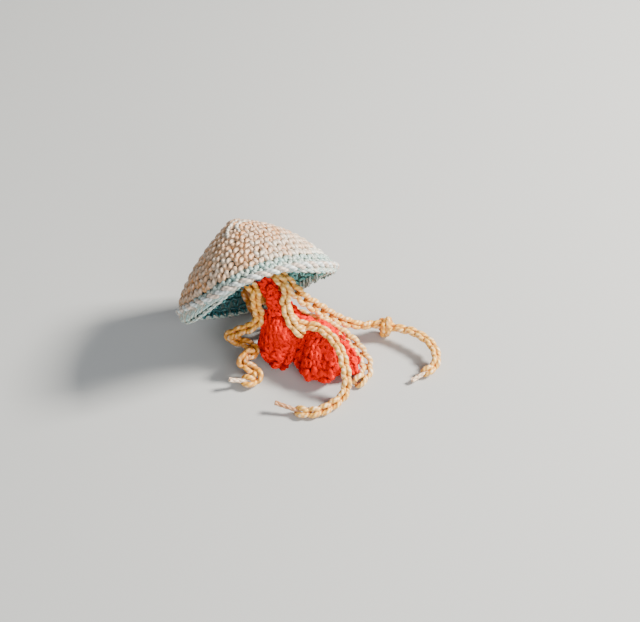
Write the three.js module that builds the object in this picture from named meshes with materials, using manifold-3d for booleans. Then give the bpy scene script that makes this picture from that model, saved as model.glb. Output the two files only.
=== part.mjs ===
// A small crocheted jellyfish in the sea nettle form, lying on a table. A cup of single crochet leans on
// its rim and on two frilled oral arms of red wool, and seven crochet chains trail from inside the cup.
// Millimetres, +Z up. The origin is on the table, under the middle of the cup and the arms together.
import * as THREE from 'three';
import { mergeVertices } from 'three/addons/utils/BufferGeometryUtils.js';
import Module from 'manifold-3d';

const wasm = await Module();
wasm.setup();

// Driving dimensions
const GAP = 0.3; // left between pieces that touch
const CHAIN_WIDTH = 3.0; // a crochet chain of cotton thread
const THREAD_WIDTH = 1.2; // the thread itself, bare at a cut end
const CHAIN_STEP = 3.3; // length of one straight piece of a chain's tube, at most
const CHAIN_SIDES = 8;
const ROUTE_SAMPLE = 1.5; // spacing at which a route is sampled before it is parted

const CUP_RADIUS = 24.5; // at the rim, outside
const CUP_HEIGHT = 24.4; // from the rim to the tip
const CUP_RIM_WALL = 2.0; // thickness of the crocheted fabric at the rim
const CUP_TIP_WALL = 2.4; // and at the tip, where the rounds crowd together
const CUP_SHOULDER = 1.7; // how early the cup's side turns in, as a power of height
const CUP_ROUNDING = 0.87; // how round its tip is, as a power of width
const CUP_SWAY = 0.55; // the soft cup bulges this far to one side low down and to the other near its tip
const CUP_SWAY_HEADING = 253; // degrees round the cup, where 0 is its lowest side
const CUP_SWAY_CYCLE = 28.3; // height over which it sways once to each side
const CUP_WAVES = [
  { count: 2, depth: 0.5, heading: 18 },
  { count: 3, depth: 1.1, heading: 51 },
]; // of the soft rim, up and down, each with a crest at its heading
const CUP_WAVE_REACH = 19.5; // height at which the rim's waves have died away
const CUP_WAVE_FADE = 1.3; // how soon they do, as a power
const CUP_COLUMNS = 40;
const CUP_ROW_SPREAD = 1.28; // how much closer together the rows are near the tip, as a power
const BRIM_HEIGHT = 5.2; // the last two rounds, worked in another colour
const CUP_CENTRE = [-1.7, -1.4, 20.0]; // the middle of the rim's circle
const CUP_TILT = 54; // degrees between the cup's axis and the vertical
const CUP_HEADING = 116; // degrees from +X to the side that the tip leans to

const COTTON = { peach: 0xd8bfab, aqua: 0xb9cbc6, cream: 0xe6c79a };
const RED_WOOL = 0xe8391f;

const radians = THREE.MathUtils.degToRad;
const smooth = THREE.MathUtils.smoothstep;

// Closed bodies -------------------------------------------------------------------------------------

// A closed body from rings of points, each ring running the same way round, with a point at each end.
function skinOver(first, rings, last) {
  const columns = rings[0].length;
  const points = [first, ...rings.flat(), last];
  const at = (row, column) => 1 + row * columns + (column % columns);
  const end = points.length - 1;
  const faces = [];
  for (let column = 0; column < columns; column++) {
    faces.push(0, at(0, column), at(0, column + 1));
    for (let row = 0; row + 1 < rings.length; row++) {
      faces.push(at(row, column), at(row + 1, column), at(row + 1, column + 1));
      faces.push(at(row, column), at(row + 1, column + 1), at(row, column + 1));
    }
    faces.push(at(rings.length - 1, column), end, at(rings.length - 1, column + 1));
  }
  return geometryOf(points, faces);
}

// A closed ring-shaped body from rings of points, where the last ring joins the first again.
function skinRound(rings) {
  const columns = rings[0].length;
  const rows = rings.length;
  const at = (row, column) => (row % rows) * columns + (column % columns);
  const faces = [];
  for (let row = 0; row < rows; row++) {
    for (let column = 0; column < columns; column++) {
      faces.push(at(row, column), at(row + 1, column), at(row + 1, column + 1));
      faces.push(at(row, column), at(row + 1, column + 1), at(row, column + 1));
    }
  }
  return geometryOf(rings.flat(), faces);
}

function geometryOf(points, faces) {
  const geometry = new THREE.BufferGeometry();
  geometry.setAttribute('position', new THREE.Float32BufferAttribute(points.flat(), 3));
  geometry.setIndex(faces);
  geometry.computeVertexNormals();
  return geometry;
}

// Joining and cutting -------------------------------------------------------------------------------

function solidOf(geometry) {
  const bare = geometry.clone();
  bare.deleteAttribute('normal');
  bare.deleteAttribute('uv');
  const merged = mergeVertices(bare, 1e-4);
  return new wasm.Manifold(new wasm.Mesh({
    numProp: 3,
    vertProperties: new Float32Array(merged.attributes.position.array),
    triVerts: new Uint32Array(merged.index.array),
  }));
}

// The geometry with every cutter taken off it. Crumbs that a cut leaves behind are dropped.
function cutBy(geometry, cutters) {
  let solid = solidOf(geometry);
  for (const cutter of cutters) {
    solid = solid.subtract(solidOf(cutter));
  }
  const pieces = solid.decompose();
  const largest = pieces.reduce((a, b) => (b.volume() > a.volume() ? b : a));
  const mesh = largest.getMesh();
  const points = [];
  for (let i = 0; i < mesh.vertProperties.length; i += mesh.numProp) {
    points.push([...mesh.vertProperties.slice(i, i + 3)]);
  }
  return geometryOf(points, [...mesh.triVerts]);
}

// The cup -------------------------------------------------------------------------------------------

// The cup's own frame: +Z towards its tip, +X towards the lowest point of its rim.
function cupRadius(height, radius, top) {
  const share = THREE.MathUtils.clamp(height / top, 0, 1);
  return radius * (1 - share ** CUP_SHOULDER) ** CUP_ROUNDING;
}

// How far the soft rim waves up or down, dying away towards the tip.
function cupWave(angle, height) {
  const share = THREE.MathUtils.clamp(1 - height / CUP_WAVE_REACH, 0, 1) ** CUP_WAVE_FADE;
  const rise = ({ count, depth, heading }) => depth * Math.cos(count * (angle - radians(heading)));
  return share * CUP_WAVES.reduce((sum, wave) => sum + rise(wave), 0);
}

// A point of the cup, swayed to one side by its height, waved at its rim, and lifted where it would go
// below the table.
function cupPoint(radius, angle, level) {
  const height = level + cupWave(angle, level);
  const sway = -CUP_SWAY * Math.sin((2 * Math.PI * level) / CUP_SWAY_CYCLE);
  const heading = radians(CUP_SWAY_HEADING);
  const x = radius * Math.cos(angle) + sway * Math.cos(heading);
  const y = radius * Math.sin(angle) + sway * Math.sin(heading);
  const tilt = radians(CUP_TILT);
  const above = CUP_CENTRE[2] - x * Math.sin(tilt) + height * Math.cos(tilt);
  const lift = Math.max(0, -above);
  return [x - lift * Math.sin(tilt), y, height + lift * Math.cos(tilt)];
}

function cupRing(radius, height) {
  const ring = [];
  for (let column = 0; column < CUP_COLUMNS; column++) {
    ring.push(cupPoint(radius, (2 * Math.PI * column) / CUP_COLUMNS, height));
  }
  return ring;
}

const INNER_RADIUS = CUP_RADIUS - CUP_RIM_WALL;
const INNER_TOP = CUP_HEIGHT - CUP_TIP_WALL;

function crownGeometry() {
  const rows = 10;
  const low = BRIM_HEIGHT + GAP;
  const rowHeight = (row, top) => top - (top - low) * (row / rows) ** CUP_ROW_SPREAD;
  const rings = [];
  for (let row = 1; row <= rows; row++) {
    const height = rowHeight(row, CUP_HEIGHT);
    rings.push(cupRing(cupRadius(height, CUP_RADIUS, CUP_HEIGHT), height));
  }
  for (let row = rows; row >= 1; row--) {
    const height = rowHeight(row, INNER_TOP);
    rings.push(cupRing(cupRadius(height, INNER_RADIUS, INNER_TOP), height));
  }
  return skinOver(cupPoint(0, 0, CUP_HEIGHT), rings, cupPoint(0, 0, INNER_TOP));
}

// The brim stands out a little from the crown and ends in a rounded lip.
function brimGeometry() {
  const bulge = 0.35;
  const lip = 0.5;
  const outside = [
    { height: BRIM_HEIGHT, swell: 0 },
    { height: 0.6 * BRIM_HEIGHT, swell: bulge },
    { height: 0.25 * BRIM_HEIGHT, swell: bulge },
    { height: 0, swell: 0 },
  ];
  const rings = outside.map(({ height, swell }) => (
    cupRing(cupRadius(height, CUP_RADIUS, CUP_HEIGHT) + swell, height)
  ));
  rings.push(cupRing((CUP_RADIUS + INNER_RADIUS) / 2, -lip));
  for (const height of [0, 0.5 * BRIM_HEIGHT, BRIM_HEIGHT]) {
    rings.push(cupRing(cupRadius(height, INNER_RADIUS, INNER_TOP), height));
  }
  return skinRound(rings);
}

// Chains --------------------------------------------------------------------------------------------

function roundSection(radius, sides) {
  const corners = [];
  for (let i = 0; i < sides; i++) {
    const angle = (2 * Math.PI * (i + 0.5)) / sides;
    corners.push(new THREE.Vector2(radius * Math.cos(angle), radius * Math.sin(angle)));
  }
  return new THREE.Shape(corners);
}

// The stretch of a route between two of its shares, as a curve of its own.
function stretch(points, from = 0, to = 1) {
  const whole = new THREE.CatmullRomCurve3(points.map((p) => new THREE.Vector3(...p)), false, 'centripetal');
  const count = Math.max(4, Math.ceil(((to - from) * whole.getLength()) / ROUTE_SAMPLE));
  const places = [];
  for (let i = 0; i <= count; i++) {
    places.push(whole.getPointAt(from + ((to - from) * i) / count));
  }
  return new THREE.CatmullRomCurve3(places, false, 'centripetal');
}

function tubeAlong(curve, width, grow = 0) {
  return new THREE.ExtrudeGeometry(roundSection(width / 2 + grow, CHAIN_SIDES), {
    extrudePath: curve,
    steps: Math.max(2, Math.ceil(curve.getLength() / CHAIN_STEP)),
    bevelEnabled: false,
  });
}

// The routes, each from inside the cup to the chain's free end.
const ROUTES = {
  left: [
    [-12.6, 8.6, 29.0], [-11.6, 5.7, 28.6], [-10.5, 2.8, 28.3], [-9.0, 0.1, 28.3],
    [-7.0, -2.3, 28.6], [-4.9, -4.6, 28.6], [-2.8, -6.4, 27.3], [-2.7, -6.7, 24.3],
    [-2.7, -6.5, 21.2], [-2.1, -6.3, 18.1], [-2.1, -6.3, 15.0], [-3.9, -6.6, 12.6],
    [-6.6, -6.8, 11.2], [-9.5, -7.0, 10.0], [-11.2, -6.4, 7.7], [-8.9, -6.1, 5.8],
    [-6.0, -6.9, 5.4], [-3.9, -9.1, 5.5], [-3.8, -12.0, 6.4], [-6.0, -13.7, 7.5],
    [-7.2, -15.0, 5.9], [-4.7, -15.8, 4.2], [-2.3, -17.3, 3.0], [-3.6, -19.3, 1.9],
    [-6.7, -19.2, 2.3],
  ],
  short: [
    [-5.2, 8.6, 33.6], [-3.6, 6.1, 33.1], [-1.9, 3.6, 32.5], [-0.2, 1.2, 31.6], [1.5, -1.0, 30.6],
    [3.5, -3.0, 29.5], [5.7, -4.9, 28.5], [6.6, -6.1, 26.2], [6.0, -6.7, 23.3], [6.4, -8.0, 20.6],
    [7.4, -9.3, 18.1], [9.0, -10.5, 15.7], [11.1, -11.1, 13.7],
  ],
  right: [
    [-2.2, 11.3, 31.0], [-0.6, 8.8, 29.9], [1.1, 6.4, 28.9], [2.8, 4.0, 27.6], [4.5, 1.7, 26.3],
    [6.5, -0.3, 25.0], [8.6, -1.6, 23.0], [10.5, -2.0, 20.6], [12.7, -2.1, 18.2],
    [15.0, -1.9, 16.1], [17.2, -1.7, 13.9], [19.5, -1.4, 11.7], [21.9, -0.9, 9.7],
    [24.4, -0.3, 7.9], [27.0, 0.4, 6.3], [29.8, 1.3, 5.2], [32.9, 2.0, 4.8], [36.0, 1.9, 4.5],
    [39.0, 1.0, 4.2], [41.9, -0.2, 4.4], [44.7, -1.6, 4.8], [47.3, -3.3, 4.7], [49.5, -5.6, 4.4],
    [51.0, -8.3, 3.8], [51.4, -11.3, 3.0], [50.1, -14.0, 2.1], [47.5, -15.7, 1.7],
  ],
  front: [
    [-2.9, 13.6, 27.2], [-1.5, 11.2, 25.8], [-0.1, 8.7, 24.6], [1.3, 6.2, 23.5], [2.7, 3.6, 22.6],
    [4.2, 0.9, 21.9], [5.4, -1.8, 21.0], [6.3, -4.2, 19.3], [7.3, -6.0, 17.0], [9.1, -7.4, 15.0],
    [12.0, -8.1, 14.4], [15.0, -9.0, 14.6], [17.6, -10.6, 14.3], [19.8, -12.6, 13.6],
    [21.5, -15.0, 12.5], [22.7, -17.5, 11.2], [23.5, -20.0, 9.5], [24.0, -21.8, 7.1],
    [24.0, -23.5, 4.5], [22.9, -25.6, 2.7], [20.8, -27.8, 2.0], [18.3, -29.7, 1.7],
    [15.5, -30.9, 1.6], [12.4, -31.3, 1.6], [9.4, -30.6, 1.6],
  ],
  curl: [
    [-6.4, 14.0, 24.2], [-4.6, 12.3, 22.4], [-2.9, 10.5, 20.7], [-1.1, 8.6, 19.2], [0.7, 6.5, 17.9],
    [2.6, 4.5, 16.6], [4.5, 2.7, 15.1], [6.5, 1.3, 13.3], [8.9, 0.1, 11.9], [11.5, -1.3, 11.6],
    [14.0, -2.9, 11.9], [16.6, -4.5, 12.2], [19.2, -6.0, 11.9], [21.8, -7.1, 10.9],
    [24.3, -8.1, 9.4], [26.4, -9.1, 7.6], [28.2, -10.5, 5.6], [29.8, -12.2, 3.6],
    [30.3, -14.8, 2.1], [29.2, -17.5, 1.8], [27.3, -19.9, 1.6],
  ],
  inner: [
    [-10.6, 12.6, 24.0], [-9.8, 10.1, 22.2], [-8.8, 7.7, 20.4], [-7.6, 5.4, 18.7],
    [-6.1, 3.2, 16.9], [-4.8, 1.2, 14.8], [-3.7, 0.2, 12.1], [-2.5, 0.3, 9.1], [-1.3, 0.9, 6.3],
    [0.3, 1.6, 3.7], [2.7, 2.3, 1.9], [5.9, 2.4, 1.6], [9.0, 1.9, 1.7],
  ],
  hidden: [
    [-12.4, 10.4, 26.0], [-11.1, 7.6, 25.1], [-9.5, 5.0, 24.3], [-7.4, 2.6, 23.9],
    [-5.0, 0.6, 23.3], [-2.5, -0.7, 21.8], [-0.9, -0.9, 19.1], [0.4, 0.0, 16.4], [1.6, 1.6, 13.9],
    [2.7, 3.0, 11.2], [3.6, 4.1, 8.4], [4.0, 5.2, 5.4], [5.0, 6.3, 2.6], [7.8, 7.0, 1.6],
  ],
};

// The lump that a chain makes where it is tied round itself: two turns side by side, a groove between.
const KNOT = { centre: [36.4, 1.8, 3.8], width: 4.4, height: 7.4, lean: 8 };

function knotGeometry(grow = 0) {
  const rows = 10;
  const columns = 14;
  const groove = 0.12;
  const twist = 2.2;
  const roundness = 0.8;
  const lean = radians(KNOT.lean);
  const reach = KNOT.height / 2 + grow;
  const place = (x, y, z) => [
    KNOT.centre[0] + x,
    KNOT.centre[1] + y * Math.cos(lean) - z * Math.sin(lean),
    Math.max(0, KNOT.centre[2] + y * Math.sin(lean) + z * Math.cos(lean)),
  ];
  const rings = [];
  for (let row = 1; row < rows; row++) {
    const turn = (Math.PI * row) / rows;
    const ring = [];
    for (let column = 0; column < columns; column++) {
      const angle = (2 * Math.PI * column) / columns;
      const grooved = 1 + groove * Math.cos(2 * angle + twist * Math.cos(turn));
      const radius = (KNOT.width / 2) * grooved * Math.sin(turn) ** roundness + grow;
      ring.push(place(radius * Math.cos(angle), radius * Math.sin(angle), reach * Math.cos(turn)));
    }
    rings.push(ring);
  }
  return skinOver(place(0, 0, reach), rings, place(0, 0, -reach));
}

// Oral arms -----------------------------------------------------------------------------------------

// A stem of wool whose thickness changes along it, with round ends.
function stemGeometry(points, widths, grow = 0) {
  const curve = stretch(points);
  const steps = 14;
  const sides = 10;
  const frames = curve.computeFrenetFrames(steps, false);
  const rings = [];
  const widthAt = (share) => {
    const place = share * (widths.length - 1);
    const low = Math.min(widths.length - 2, Math.floor(place));
    return THREE.MathUtils.lerp(widths[low], widths[low + 1], place - low);
  };
  for (let step = 0; step <= steps; step++) {
    const centre = curve.getPointAt(step / steps);
    const radius = widthAt(step / steps) / 2 + grow;
    const ring = [];
    for (let side = 0; side < sides; side++) {
      const angle = (-2 * Math.PI * side) / sides;
      const place = centre.clone()
        .addScaledVector(frames.normals[step], radius * Math.cos(angle))
        .addScaledVector(frames.binormals[step], radius * Math.sin(angle));
      ring.push(place.toArray());
    }
    rings.push(ring);
  }
  const round = 0.25;
  const first = curve.getPointAt(0).addScaledVector(frames.tangents[0], -round * widths[0] - grow);
  const last = curve.getPointAt(1).addScaledVector(frames.tangents[steps], round * widths.at(-1) + grow);
  return skinOver(first.toArray(), rings, last.toArray());
}

// A frill: a gathered skirt of wool that hangs from its top point, ribbed, scalloped at its hem and
// closed below, where it rests on the table.
function frillGeometry(frill, grow = 0) {
  const rows = 13;
  const columns = 36;
  const scallop = 0.6; // half the height that the hem rises between two ribs
  const ribsFrom = [0.15, 0.8]; // shares of the way down over which the ribs grow
  const dentFrom = [0.05, 0.4]; // shares of the way up over which the dent grows
  const [topX, topY, topZ] = frill.top;
  const [footX, footY] = frill.foot;
  const rings = [];
  for (let row = 1; row < rows; row++) {
    const turn = (Math.PI * row) / rows;
    const level = (1 + Math.cos(turn)) / 2;
    const fullness = Math.sin(turn) * (1 - frill.droop * Math.cos(turn));
    const ribbing = smooth(1 - level, ...ribsFrom);
    const ring = [];
    for (let column = 0; column < columns; column++) {
      const angle = (2 * Math.PI * column) / columns;
      const away = Math.atan2(Math.sin(angle - frill.dentAt), Math.cos(angle - frill.dentAt));
      const dent = frill.dent * Math.exp(-((away / frill.dentWidth) ** 2)) * smooth(level, ...dentFrom);
      const rib = 1 + frill.ribDepth * ribbing * Math.cos(frill.ribs * angle);
      const spread = fullness * rib * (1 - dent);
      const rise = scallop * ribbing * (1 - Math.cos(frill.ribs * angle)) * (1 - level);
      ring.push([
        THREE.MathUtils.lerp(footX, topX, level) + (frill.radiusX * spread + grow) * Math.cos(angle),
        THREE.MathUtils.lerp(footY, topY, level) + (frill.radiusY * spread + grow) * Math.sin(angle),
        Math.max(0, topZ * level + rise - GAP),
      ]);
    }
    rings.push(ring);
  }
  return skinOver([topX, topY, topZ - GAP + grow], rings, [footX, footY, 0]);
}

const LEFT_FRILL = {
  top: [3.9, -6.1, 16.2], foot: [4.5, -9.0], radiusX: 5.9, radiusY: 5.8, droop: 0.22,
  ribs: 8, ribDepth: 0.06, dentAt: radians(20), dentWidth: 0.5, dent: 0.2,
};
const RIGHT_FRILL = {
  top: [15.8, -8.2, 14.4], foot: [17.0, -11.8], radiusX: 8.5, radiusY: 8.5, droop: 0.25,
  ribs: 9, ribDepth: 0.08, dentAt: radians(205), dentWidth: 0.45, dent: 0.4,
};
const LEFT_STEM = {
  points: [[-8.9, 10.2, 31.0], [-5.2, 3.2, 30.2], [-0.2, -3.2, 28.4], [1.2, -4.4, 26.1], [2.2, -4.7, 24.0],
    [3.1, -4.9, 21.1], [3.5, -5.5, 17.4]],
  widths: [3.4, 3.8, 4.4, 4.2, 4.6],
};
const RIGHT_STEM = {
  points: [[-7.6, 12.7, 28.5], [-2.8, 6.5, 24.6], [2.8, 1.4, 19.8], [4.8, -1.2, 16.6], [7.2, -3.1, 14.2],
    [10.1, -4.9, 12.3], [13.4, -6.6, 11.7]],
  widths: [3.4, 3.6, 4.0, 5.0, 5.6],
};

// Assembly ------------------------------------------------------------------------------------------

const jellyfish = new THREE.Group();
const cup = new THREE.Group();
cup.position.set(...CUP_CENTRE);
cup.rotation.set(0, radians(CUP_TILT), radians(CUP_HEADING), 'ZYX');
jellyfish.add(cup);

function addPiece(name, geometry, colour, parent = jellyfish) {
  const material = new THREE.MeshStandardMaterial({ color: colour, roughness: 0.9, metalness: 0 });
  const mesh = new THREE.Mesh(geometry, material);
  mesh.name = name;
  parent.add(mesh);
}

addPiece('cup_crown', crownGeometry(), COTTON.peach, cup);
addPiece('cup_brim', brimGeometry(), COTTON.aqua, cup);

// Each long chain is parted into lengths, with the gap between them, and ends in its thread's cut tail.
// A part is named with the shares of the chain's length at which it starts and ends.
const WHOLE = { whole: [0, 1] };
const HALVES = { upper: [0, 0.5], lower: [0.5, 1] };
const KNOTTED = { upper: [0, 0.35], middle: [0.35, 0.66], lower: [0.66, 1] };
const CHAINS = [
  { name: 'tentacle_left', route: ROUTES.left, parts: HALVES, tail: [-10.7, -20.4, 3.8] },
  { name: 'tentacle_short', route: ROUTES.short, parts: WHOLE },
  {
    name: 'tentacle_right', route: ROUTES.right, parts: KNOTTED, knot: knotGeometry,
    tail: [43.9, -18.3, 1.2],
  },
  { name: 'tentacle_front', route: ROUTES.front, parts: HALVES, tail: [3.1, -29.1, 3.4] },
  { name: 'tentacle_curl', route: ROUTES.curl, parts: HALVES },
  { name: 'tentacle_inner', route: ROUTES.inner, parts: WHOLE },
  { name: 'tentacle_hidden', route: ROUTES.hidden, parts: WHOLE },
];
const cutters = [];
for (const chain of CHAINS) {
  const whole = stretch(chain.route);
  const half = GAP / 2 / whole.getLength();
  for (const [part, [start, stop]] of Object.entries(chain.parts)) {
    const from = start === 0 ? 0 : start + half;
    const to = stop === 1 ? 1 : stop - half;
    const name = part === 'whole' ? chain.name : `${chain.name}_${part}`;
    const tube = tubeAlong(stretch(chain.route, from, to), CHAIN_WIDTH);
    addPiece(name, chain.knot ? cutBy(tube, [chain.knot(GAP)]) : tube, COTTON.cream);
  }
  if (chain.knot) {
    addPiece(`${chain.name}_knot`, chain.knot(), COTTON.cream);
  }
  cutters.push(tubeAlong(whole, CHAIN_WIDTH, GAP));
  if (chain.tail) {
    const end = whole.getPointAt(1);
    const start = end.clone().addScaledVector(whole.getTangentAt(1), GAP);
    const middle = start.clone().lerp(new THREE.Vector3(...chain.tail), 0.5);
    const tail = stretch([start.toArray(), middle.toArray(), chain.tail]);
    addPiece(`${chain.name}_tail`, tubeAlong(tail, THREAD_WIDTH), COTTON.cream);
  }
}

// Each arm's piece gives way to the chains and to the pieces before it.
const armPieces = [
  ['oral_arm_left_stem', (grow) => stemGeometry(LEFT_STEM.points, LEFT_STEM.widths, grow)],
  ['oral_arm_left_frill', (grow) => frillGeometry(LEFT_FRILL, grow)],
  ['oral_arm_right_stem', (grow) => stemGeometry(RIGHT_STEM.points, RIGHT_STEM.widths, grow)],
  ['oral_arm_right_frill', (grow) => frillGeometry(RIGHT_FRILL, grow)],
];
for (const [name, make] of armPieces) {
  addPiece(name, cutBy(make(0), cutters), RED_WOOL);
  cutters.push(make(GAP));
}

export default jellyfish;
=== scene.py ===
"""The looks of a small crocheted jellyfish that lies on a table.

Every stitch, chain link and wool strand starts as a bare line. Geometry Nodes trees place the lines on the
cup, on the frills or along a tentacle's route, and turn them into round threads. Metres, +Z up.
"""

import math

import bpy
import numpy as np
from mathutils import Matrix, Vector


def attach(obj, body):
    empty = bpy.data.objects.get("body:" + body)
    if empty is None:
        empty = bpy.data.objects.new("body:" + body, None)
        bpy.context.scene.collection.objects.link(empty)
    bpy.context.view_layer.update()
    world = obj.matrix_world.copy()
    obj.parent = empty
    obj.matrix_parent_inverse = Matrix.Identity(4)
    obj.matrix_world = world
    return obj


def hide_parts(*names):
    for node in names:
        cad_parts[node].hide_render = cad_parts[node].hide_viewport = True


MM = 0.001

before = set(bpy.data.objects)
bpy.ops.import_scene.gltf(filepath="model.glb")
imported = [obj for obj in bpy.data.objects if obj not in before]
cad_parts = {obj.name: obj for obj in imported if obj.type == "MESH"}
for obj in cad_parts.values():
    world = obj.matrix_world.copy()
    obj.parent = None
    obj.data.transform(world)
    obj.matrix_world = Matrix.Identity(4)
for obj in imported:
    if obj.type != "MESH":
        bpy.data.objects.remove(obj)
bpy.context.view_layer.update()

# The camera ---------------------------------------------------------------------------------------

CAMERA_ELEVATION = 45.0  # degrees above the table
CAMERA_AT = (0.01631, -0.3217, 0.3341)
CAMERA_LENS = 84.4  # millimetres, as the sensor's width is
CAMERA_SENSOR = 36.0
CAMERA_CLIP = (0.01, 10.0)


def add_camera():
    camera = bpy.data.objects.new("camera", bpy.data.cameras.new("camera"))
    camera.data.sensor_width = CAMERA_SENSOR
    camera.data.lens = CAMERA_LENS
    camera.data.clip_start, camera.data.clip_end = CAMERA_CLIP
    camera.location = CAMERA_AT
    camera.rotation_euler = (math.radians(90.0 - CAMERA_ELEVATION), 0.0, 0.0)
    bpy.context.collection.objects.link(camera)
    bpy.context.scene.camera = camera


# Driving sizes ------------------------------------------------------------------------------------

CHAIN_PITCH = 0.0035  # from one link of it to the next
CHAIN_THREAD = 0.00076  # radius of the thread that the chain is made of
CHAIN_SPREAD = 0.0020  # between the middles of a link's two arms
CHAIN_DEPTH = 2 * CHAIN_THREAD  # the depth that a link is drawn in
KNOT_DEPTH = 1.6 * CHAIN_THREAD  # and a link of the knot
TAIL_WIDTH = 0.0012  # the bare thread at a cut end
TAIL_PITCH = 0.0060  # one turn of its three plies

CUP_RADIUS = 0.0245
CUP_HEIGHT = 0.0244
CUP_RIM_WALL = 0.0020
CUP_TIP_WALL = 0.0024
LINING_RADIUS = CUP_RADIUS - CUP_RIM_WALL
LINING_HEIGHT = CUP_HEIGHT - CUP_TIP_WALL
CUP_SHOULDER = 1.7  # the higher, the longer the cup stays wide on its way up
CUP_ROUNDING = 0.87  # the lower, the rounder its tip
CUP_SWAY = 0.00055  # how far its middle strays from side to side on its way up
CUP_SWAY_HEADING = math.radians(253)
CUP_SWAY_CYCLE = 0.0283  # the height of one such swing
CUP_WAVES = [(2, 0.0005, math.radians(18)), (3, 0.0011, math.radians(51))]  # count, depth and heading
CUP_WAVE_REACH = 0.0195  # the level where the waves of the rim have faded out
CUP_WAVE_FADE = 1.3
CUP_CENTRE = np.array([-0.0017, -0.0014, 0.0200])  # of the rim's circle
CUP_TILT = math.radians(54)
CUP_HEADING = math.radians(116)
CUP_TURN = np.array(Matrix.Rotation(CUP_HEADING, 3, "Z") @ Matrix.Rotation(CUP_TILT, 3, "Y"))
BRIM_HEIGHT = 0.0052  # the level where the crown's stitches end and the brim's begin
BRIM_FOOT = 0.0018  # the level where the brim's round of stitches ends
RIDGE_LEVELS = (
    (-0.022, 0.0041), (-0.018, 0.0037), (-0.012, 0.0026), (-0.003, 0.0016), (0.004, 0.0011),
    (0.025, 0.0010),
)  # by the rim's X, the level of the braid that stands out round the brim
LIP_LEVELS = (
    (0, 0.0004), (108, 0.0004), (132, 0.0008), (160, 0.0016), (186, 0.0010), (200, -0.0003), (215, -0.0010),
    (235, -0.0008), (255, 0.0002), (360, 0.0004),
)  # by degrees round the rim, the level of the lip: drawn up in the middle, hanging at the right

STITCH_WIDTH = 0.0030
STITCH_HEIGHT = 0.0027  # from one round of the cup to the next
BRIM_STITCH_HEIGHT = 0.0024
STITCH_THREAD = 0.00066  # radius of the cup's thread
BRAID_THREAD = 0.00064  # radius of each of the two strands of the braid round the brim
BRAID_PITCH = 0.0054
LIP_THREAD = 0.00040
LIP_PITCH = 0.0046
FLANGE_THREAD = 0.00036  # radius of the strands between the braid and the lip
FLANGE_PITCH = 0.0011  # from one of them to the next
FLANGE_SLANT = 0.0019  # how far one leans along the rim
FLANGE_LEAST = 0.0006  # how high it is at least
FRINGE_LENGTH = 0.0026  # of a loose loop under the rim
TIP_THREAD = 0.0006

WOOL_WIDTH = 0.0026  # one stitch of the red wool
WOOL_HEIGHT = 0.0025
WOOL_THREAD = 0.00078
FUZZ_THREAD = 0.00005
FUZZ_LENGTHS = (0.0006, 0.0014)
FUZZ_DENSITY = 0.9e6  # fibres to a square metre

SEED = 7
FUZZ_SEED = 11
chance = np.random.default_rng(SEED)


def stray(amount):
    """A random number round zero, mostly within the amount."""
    return amount * chance.standard_normal()


def yarn(radius, sides, wobble=0.0, wobble_scale=400.0):
    """How a thread is drawn: its radius, its number of sides, how far it wobbles and how finely."""
    return {"Thread": radius, "Sides": sides, "Wobble": wobble, "Wobble scale": wobble_scale}


CHAIN_YARN = yarn(CHAIN_THREAD, 8, 0.0006, 320.0)
KNOT_YARN = yarn(CHAIN_THREAD * 1.1, 8, 0.0004, 320.0)
TAIL_YARN = yarn(TAIL_WIDTH * 0.38, 8)
CROWN_YARN = yarn(STITCH_THREAD * 1.08, 6, 0.0004, 420.0)
TIP_YARN = yarn(TIP_THREAD, 8)
LINING_YARN = yarn(STITCH_THREAD * 0.8, 5, 0.0009, 420.0)
BRIM_YARN = yarn(STITCH_THREAD * 0.95, 6, 0.0007, 420.0)
BRAID_YARN = yarn(BRAID_THREAD, 8, 0.0007, 320.0)
FLANGE_YARN = yarn(FLANGE_THREAD, 5, 0.0006, 420.0)
LIP_YARN = yarn(LIP_THREAD, 6, 0.0004, 420.0)
FRINGE_YARN = yarn(FLANGE_THREAD, 6)
ARM_YARN = yarn(WOOL_THREAD * 0.8, 7, 0.0010, 300.0)
BOBBLE_YARN = yarn(WOOL_THREAD, 7, 0.0010, 300.0)
FUZZ_YARN = yarn(FUZZ_THREAD, 3)

# Lines --------------------------------------------------------------------------------------------


def even(points, spacing):
    """The same line with its points evenly spaced, about as far apart as asked."""
    points = np.asarray(points, float)
    run = np.concatenate([[0.0], np.cumsum(np.linalg.norm(np.diff(points, axis=0), axis=1))])
    count = max(2, round(run[-1] / spacing) + 1)
    wanted = np.linspace(0.0, run[-1], count)
    return np.stack([np.interp(wanted, run, points[:, axis]) for axis in range(3)], axis=1)


def smooth_line(points, spacing):
    """A centripetal Catmull-Rom spline through the points, evenly sampled."""
    points = np.asarray(points, float)
    ends = np.concatenate([[2 * points[0] - points[1]], points, [2 * points[-1] - points[-2]]])
    steps = 12
    fine = []
    for before, start, stop, after in zip(ends, ends[1:], ends[2:], ends[3:]):
        lead, span, trail = (math.sqrt(np.linalg.norm(b - a)) for a, b in
                             ((before, start), (start, stop), (stop, after)))
        leave = ((start - before) / lead - (stop - before) / (lead + span) + (stop - start) / span) * span
        arrive = ((stop - start) / span - (after - start) / (span + trail) + (after - stop) / trail) * span
        for step in range(steps):
            t = step / steps
            fine.append(
                (2 * t**3 - 3 * t**2 + 1) * start + (t**3 - 2 * t**2 + t) * leave
                + (3 * t**2 - 2 * t**3) * stop + (t**3 - t**2) * arrive
            )
    fine.append(points[-1])
    return even(fine, spacing)


def length_of(points):
    return float(np.linalg.norm(np.diff(points, axis=0), axis=1).sum())


def unit(vector):
    return vector / np.linalg.norm(vector)


def directions(line):
    """The line's direction at each of its points."""
    return np.array([unit(step) for step in np.gradient(line, axis=0)])


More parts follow.
